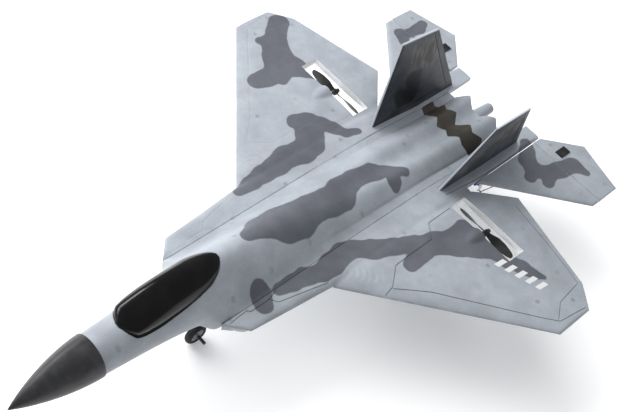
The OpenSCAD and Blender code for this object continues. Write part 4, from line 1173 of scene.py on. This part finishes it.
# plain slanted dashes in place of a printed badge
mark = {"centre": (-180, 229), "along": (-0.33, 0.94), "dashes": 5, "pitch": 15, "width": 7.5, "length": 15,
        "slant": 0.45, "lift": 0.10, "film": 0.08}
ux, uy = mark["along"]
size = math.hypot(ux, uy)
ux, uy = ux / size, uy / size
vx, vy = -uy, ux
dashes = []
for k in range(mark["dashes"]):
    start = (k - (mark["dashes"] - 1) / 2) * mark["pitch"]
    loop = []
    for a, b in ((-0.5, -0.5), (0.5, -0.5), (0.5, 0.5), (-0.5, 0.5)):
        along = start + a * mark["width"] + b * mark["length"] * mark["slant"]
        across = b * mark["length"]
        loop.append((mark["centre"][0] + ux * along + vx * across,
                     mark["centre"][1] + uy * along + vy * across))
    spots, faces = netInside(loop, [], [], 1.8, (0.4,), 1.6)
    top = wingHeights(spots[:, 0], spots[:, 1], 1)[0] + mark["lift"]
    dashes.append(slabFromNet("dash", spots, faces, top + mark["film"], top, planPlace(1)))
dashPiece = joinPieces(dashes, "wing_dashes")
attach(dashPiece, "airframe")
dashPiece.data.materials.append(vinylPale)
print("battery and wing mark done")

# finishes of the parts kept from the frame
keptFinish = {"wing_spar": carbonTube, "bay_tray": plySheet, "battery_strap": webbing,
              "control_board": boardGreen, "motor_": canSteel, "motor_mount_": nylonBlack,
              "prop_shaft_": wireSteel, "prop_nut_": nylonBlack, "servo_": servoBlue,
              "servo_arm_": nylonWhite, "pushrod_": wireSteel, "horn_plate_": nylonBlack,
              "control_horn_": nylonBlack, "nose_plate": absGrey, "main_plate_": absGrey,
              "nose_leg": wireSteel, "main_leg_": wireSteel, "nose_hub": absGrey, "main_hub_": absGrey,
              "nose_keeper": nylonBlack, "main_keeper_": nylonBlack}
for nodeName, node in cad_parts.items():
    keys = [k for k in keptFinish if nodeName.startswith(k)]
    if keys and not node.hide_render:
        finish = keptFinish[max(keys, key=len)]
        for holder in node.material_slots:
            holder.material = finish
print("frame parts finished")

# floor and light
studio = {"floor": ("#f6f6f6", "#f2f2f2"), "floorGlow": 0.22, "floorReach": 6.0,
          "air": "#f4f6fa", "airStrength": 0.38}
floorMesh = bpy.data.meshes.new("floor")
reach = studio["floorReach"]
floorMesh.from_pydata([(-reach, -reach, 0), (reach, -reach, 0), (reach, reach, 0), (-reach, reach, 0)],
                      [], [(0, 1, 2, 3)])
floor = bpy.data.objects.new("floor", floorMesh)
bpy.context.scene.collection.objects.link(floor)
floorPaint, floorTree, floorShader, floorPlace = startMaterial("paperSweepWhite", 0.9)
fibre = addNode(floorTree, "ShaderNodeTexNoise", {"Scale": cells(60), "Detail": 2.0}, {"Vector": floorPlace})
floorTone = addNode(floorTree, "ShaderNodeMix", {"data_type": "RGBA", 6: linearColour(studio["floor"][0]),
                                                 7: linearColour(studio["floor"][1])},
                    {0: fibre.outputs["Fac"]})
floorTree.links.new(floorTone.outputs[2], floorShader.inputs["Base Color"])
floorShader.inputs["Emission Color"].default_value = (1, 1, 1, 1)
floorShader.inputs["Emission Strength"].default_value = studio["floorGlow"]  # lit like a light table
floor.data.materials.append(floorPaint)

lights = {  # name: place, aim, long side, short side, power, seen in glossy pieces
    "softRight": ((-0.2, -1.7, 1.6), (-0.05, -0.05, 0.1), 2.4, 2.4, 74, False),
    "topWide": ((0.0, -0.2, 2.3), (0, 0, 0.1), 2.4, 2.4, 26, False),
    "stripRight": ((0.55, -1.5, 0.78), (0.23, 0, 0.17), 1.1, 0.22, 7, True),
}
for name, (place, aim, longSide, shortSide, power, mirrored) in lights.items():
    lamp = bpy.data.lights.new(name, "AREA")
    lamp.shape = "RECTANGLE"
    lamp.size, lamp.size_y = longSide, shortSide
    lamp.energy = power
    holder = bpy.data.objects.new(name, lamp)
    bpy.context.scene.collection.objects.link(holder)
    holder.location = place
    holder.visible_glossy = mirrored
    holder.rotation_euler = (Vector(aim) - Vector(place)).to_track_quat("-Z", "Y").to_euler()
world = bpy.data.worlds.new("studio")
world.use_nodes = True
air = world.node_tree.nodes["Background"]
air.inputs["Color"].default_value = linearColour(studio["air"])
air.inputs["Strength"].default_value = studio["airStrength"]
bpy.context.scene.world = world
bpy.context.scene.view_settings.view_transform = "Standard"
print("light done")
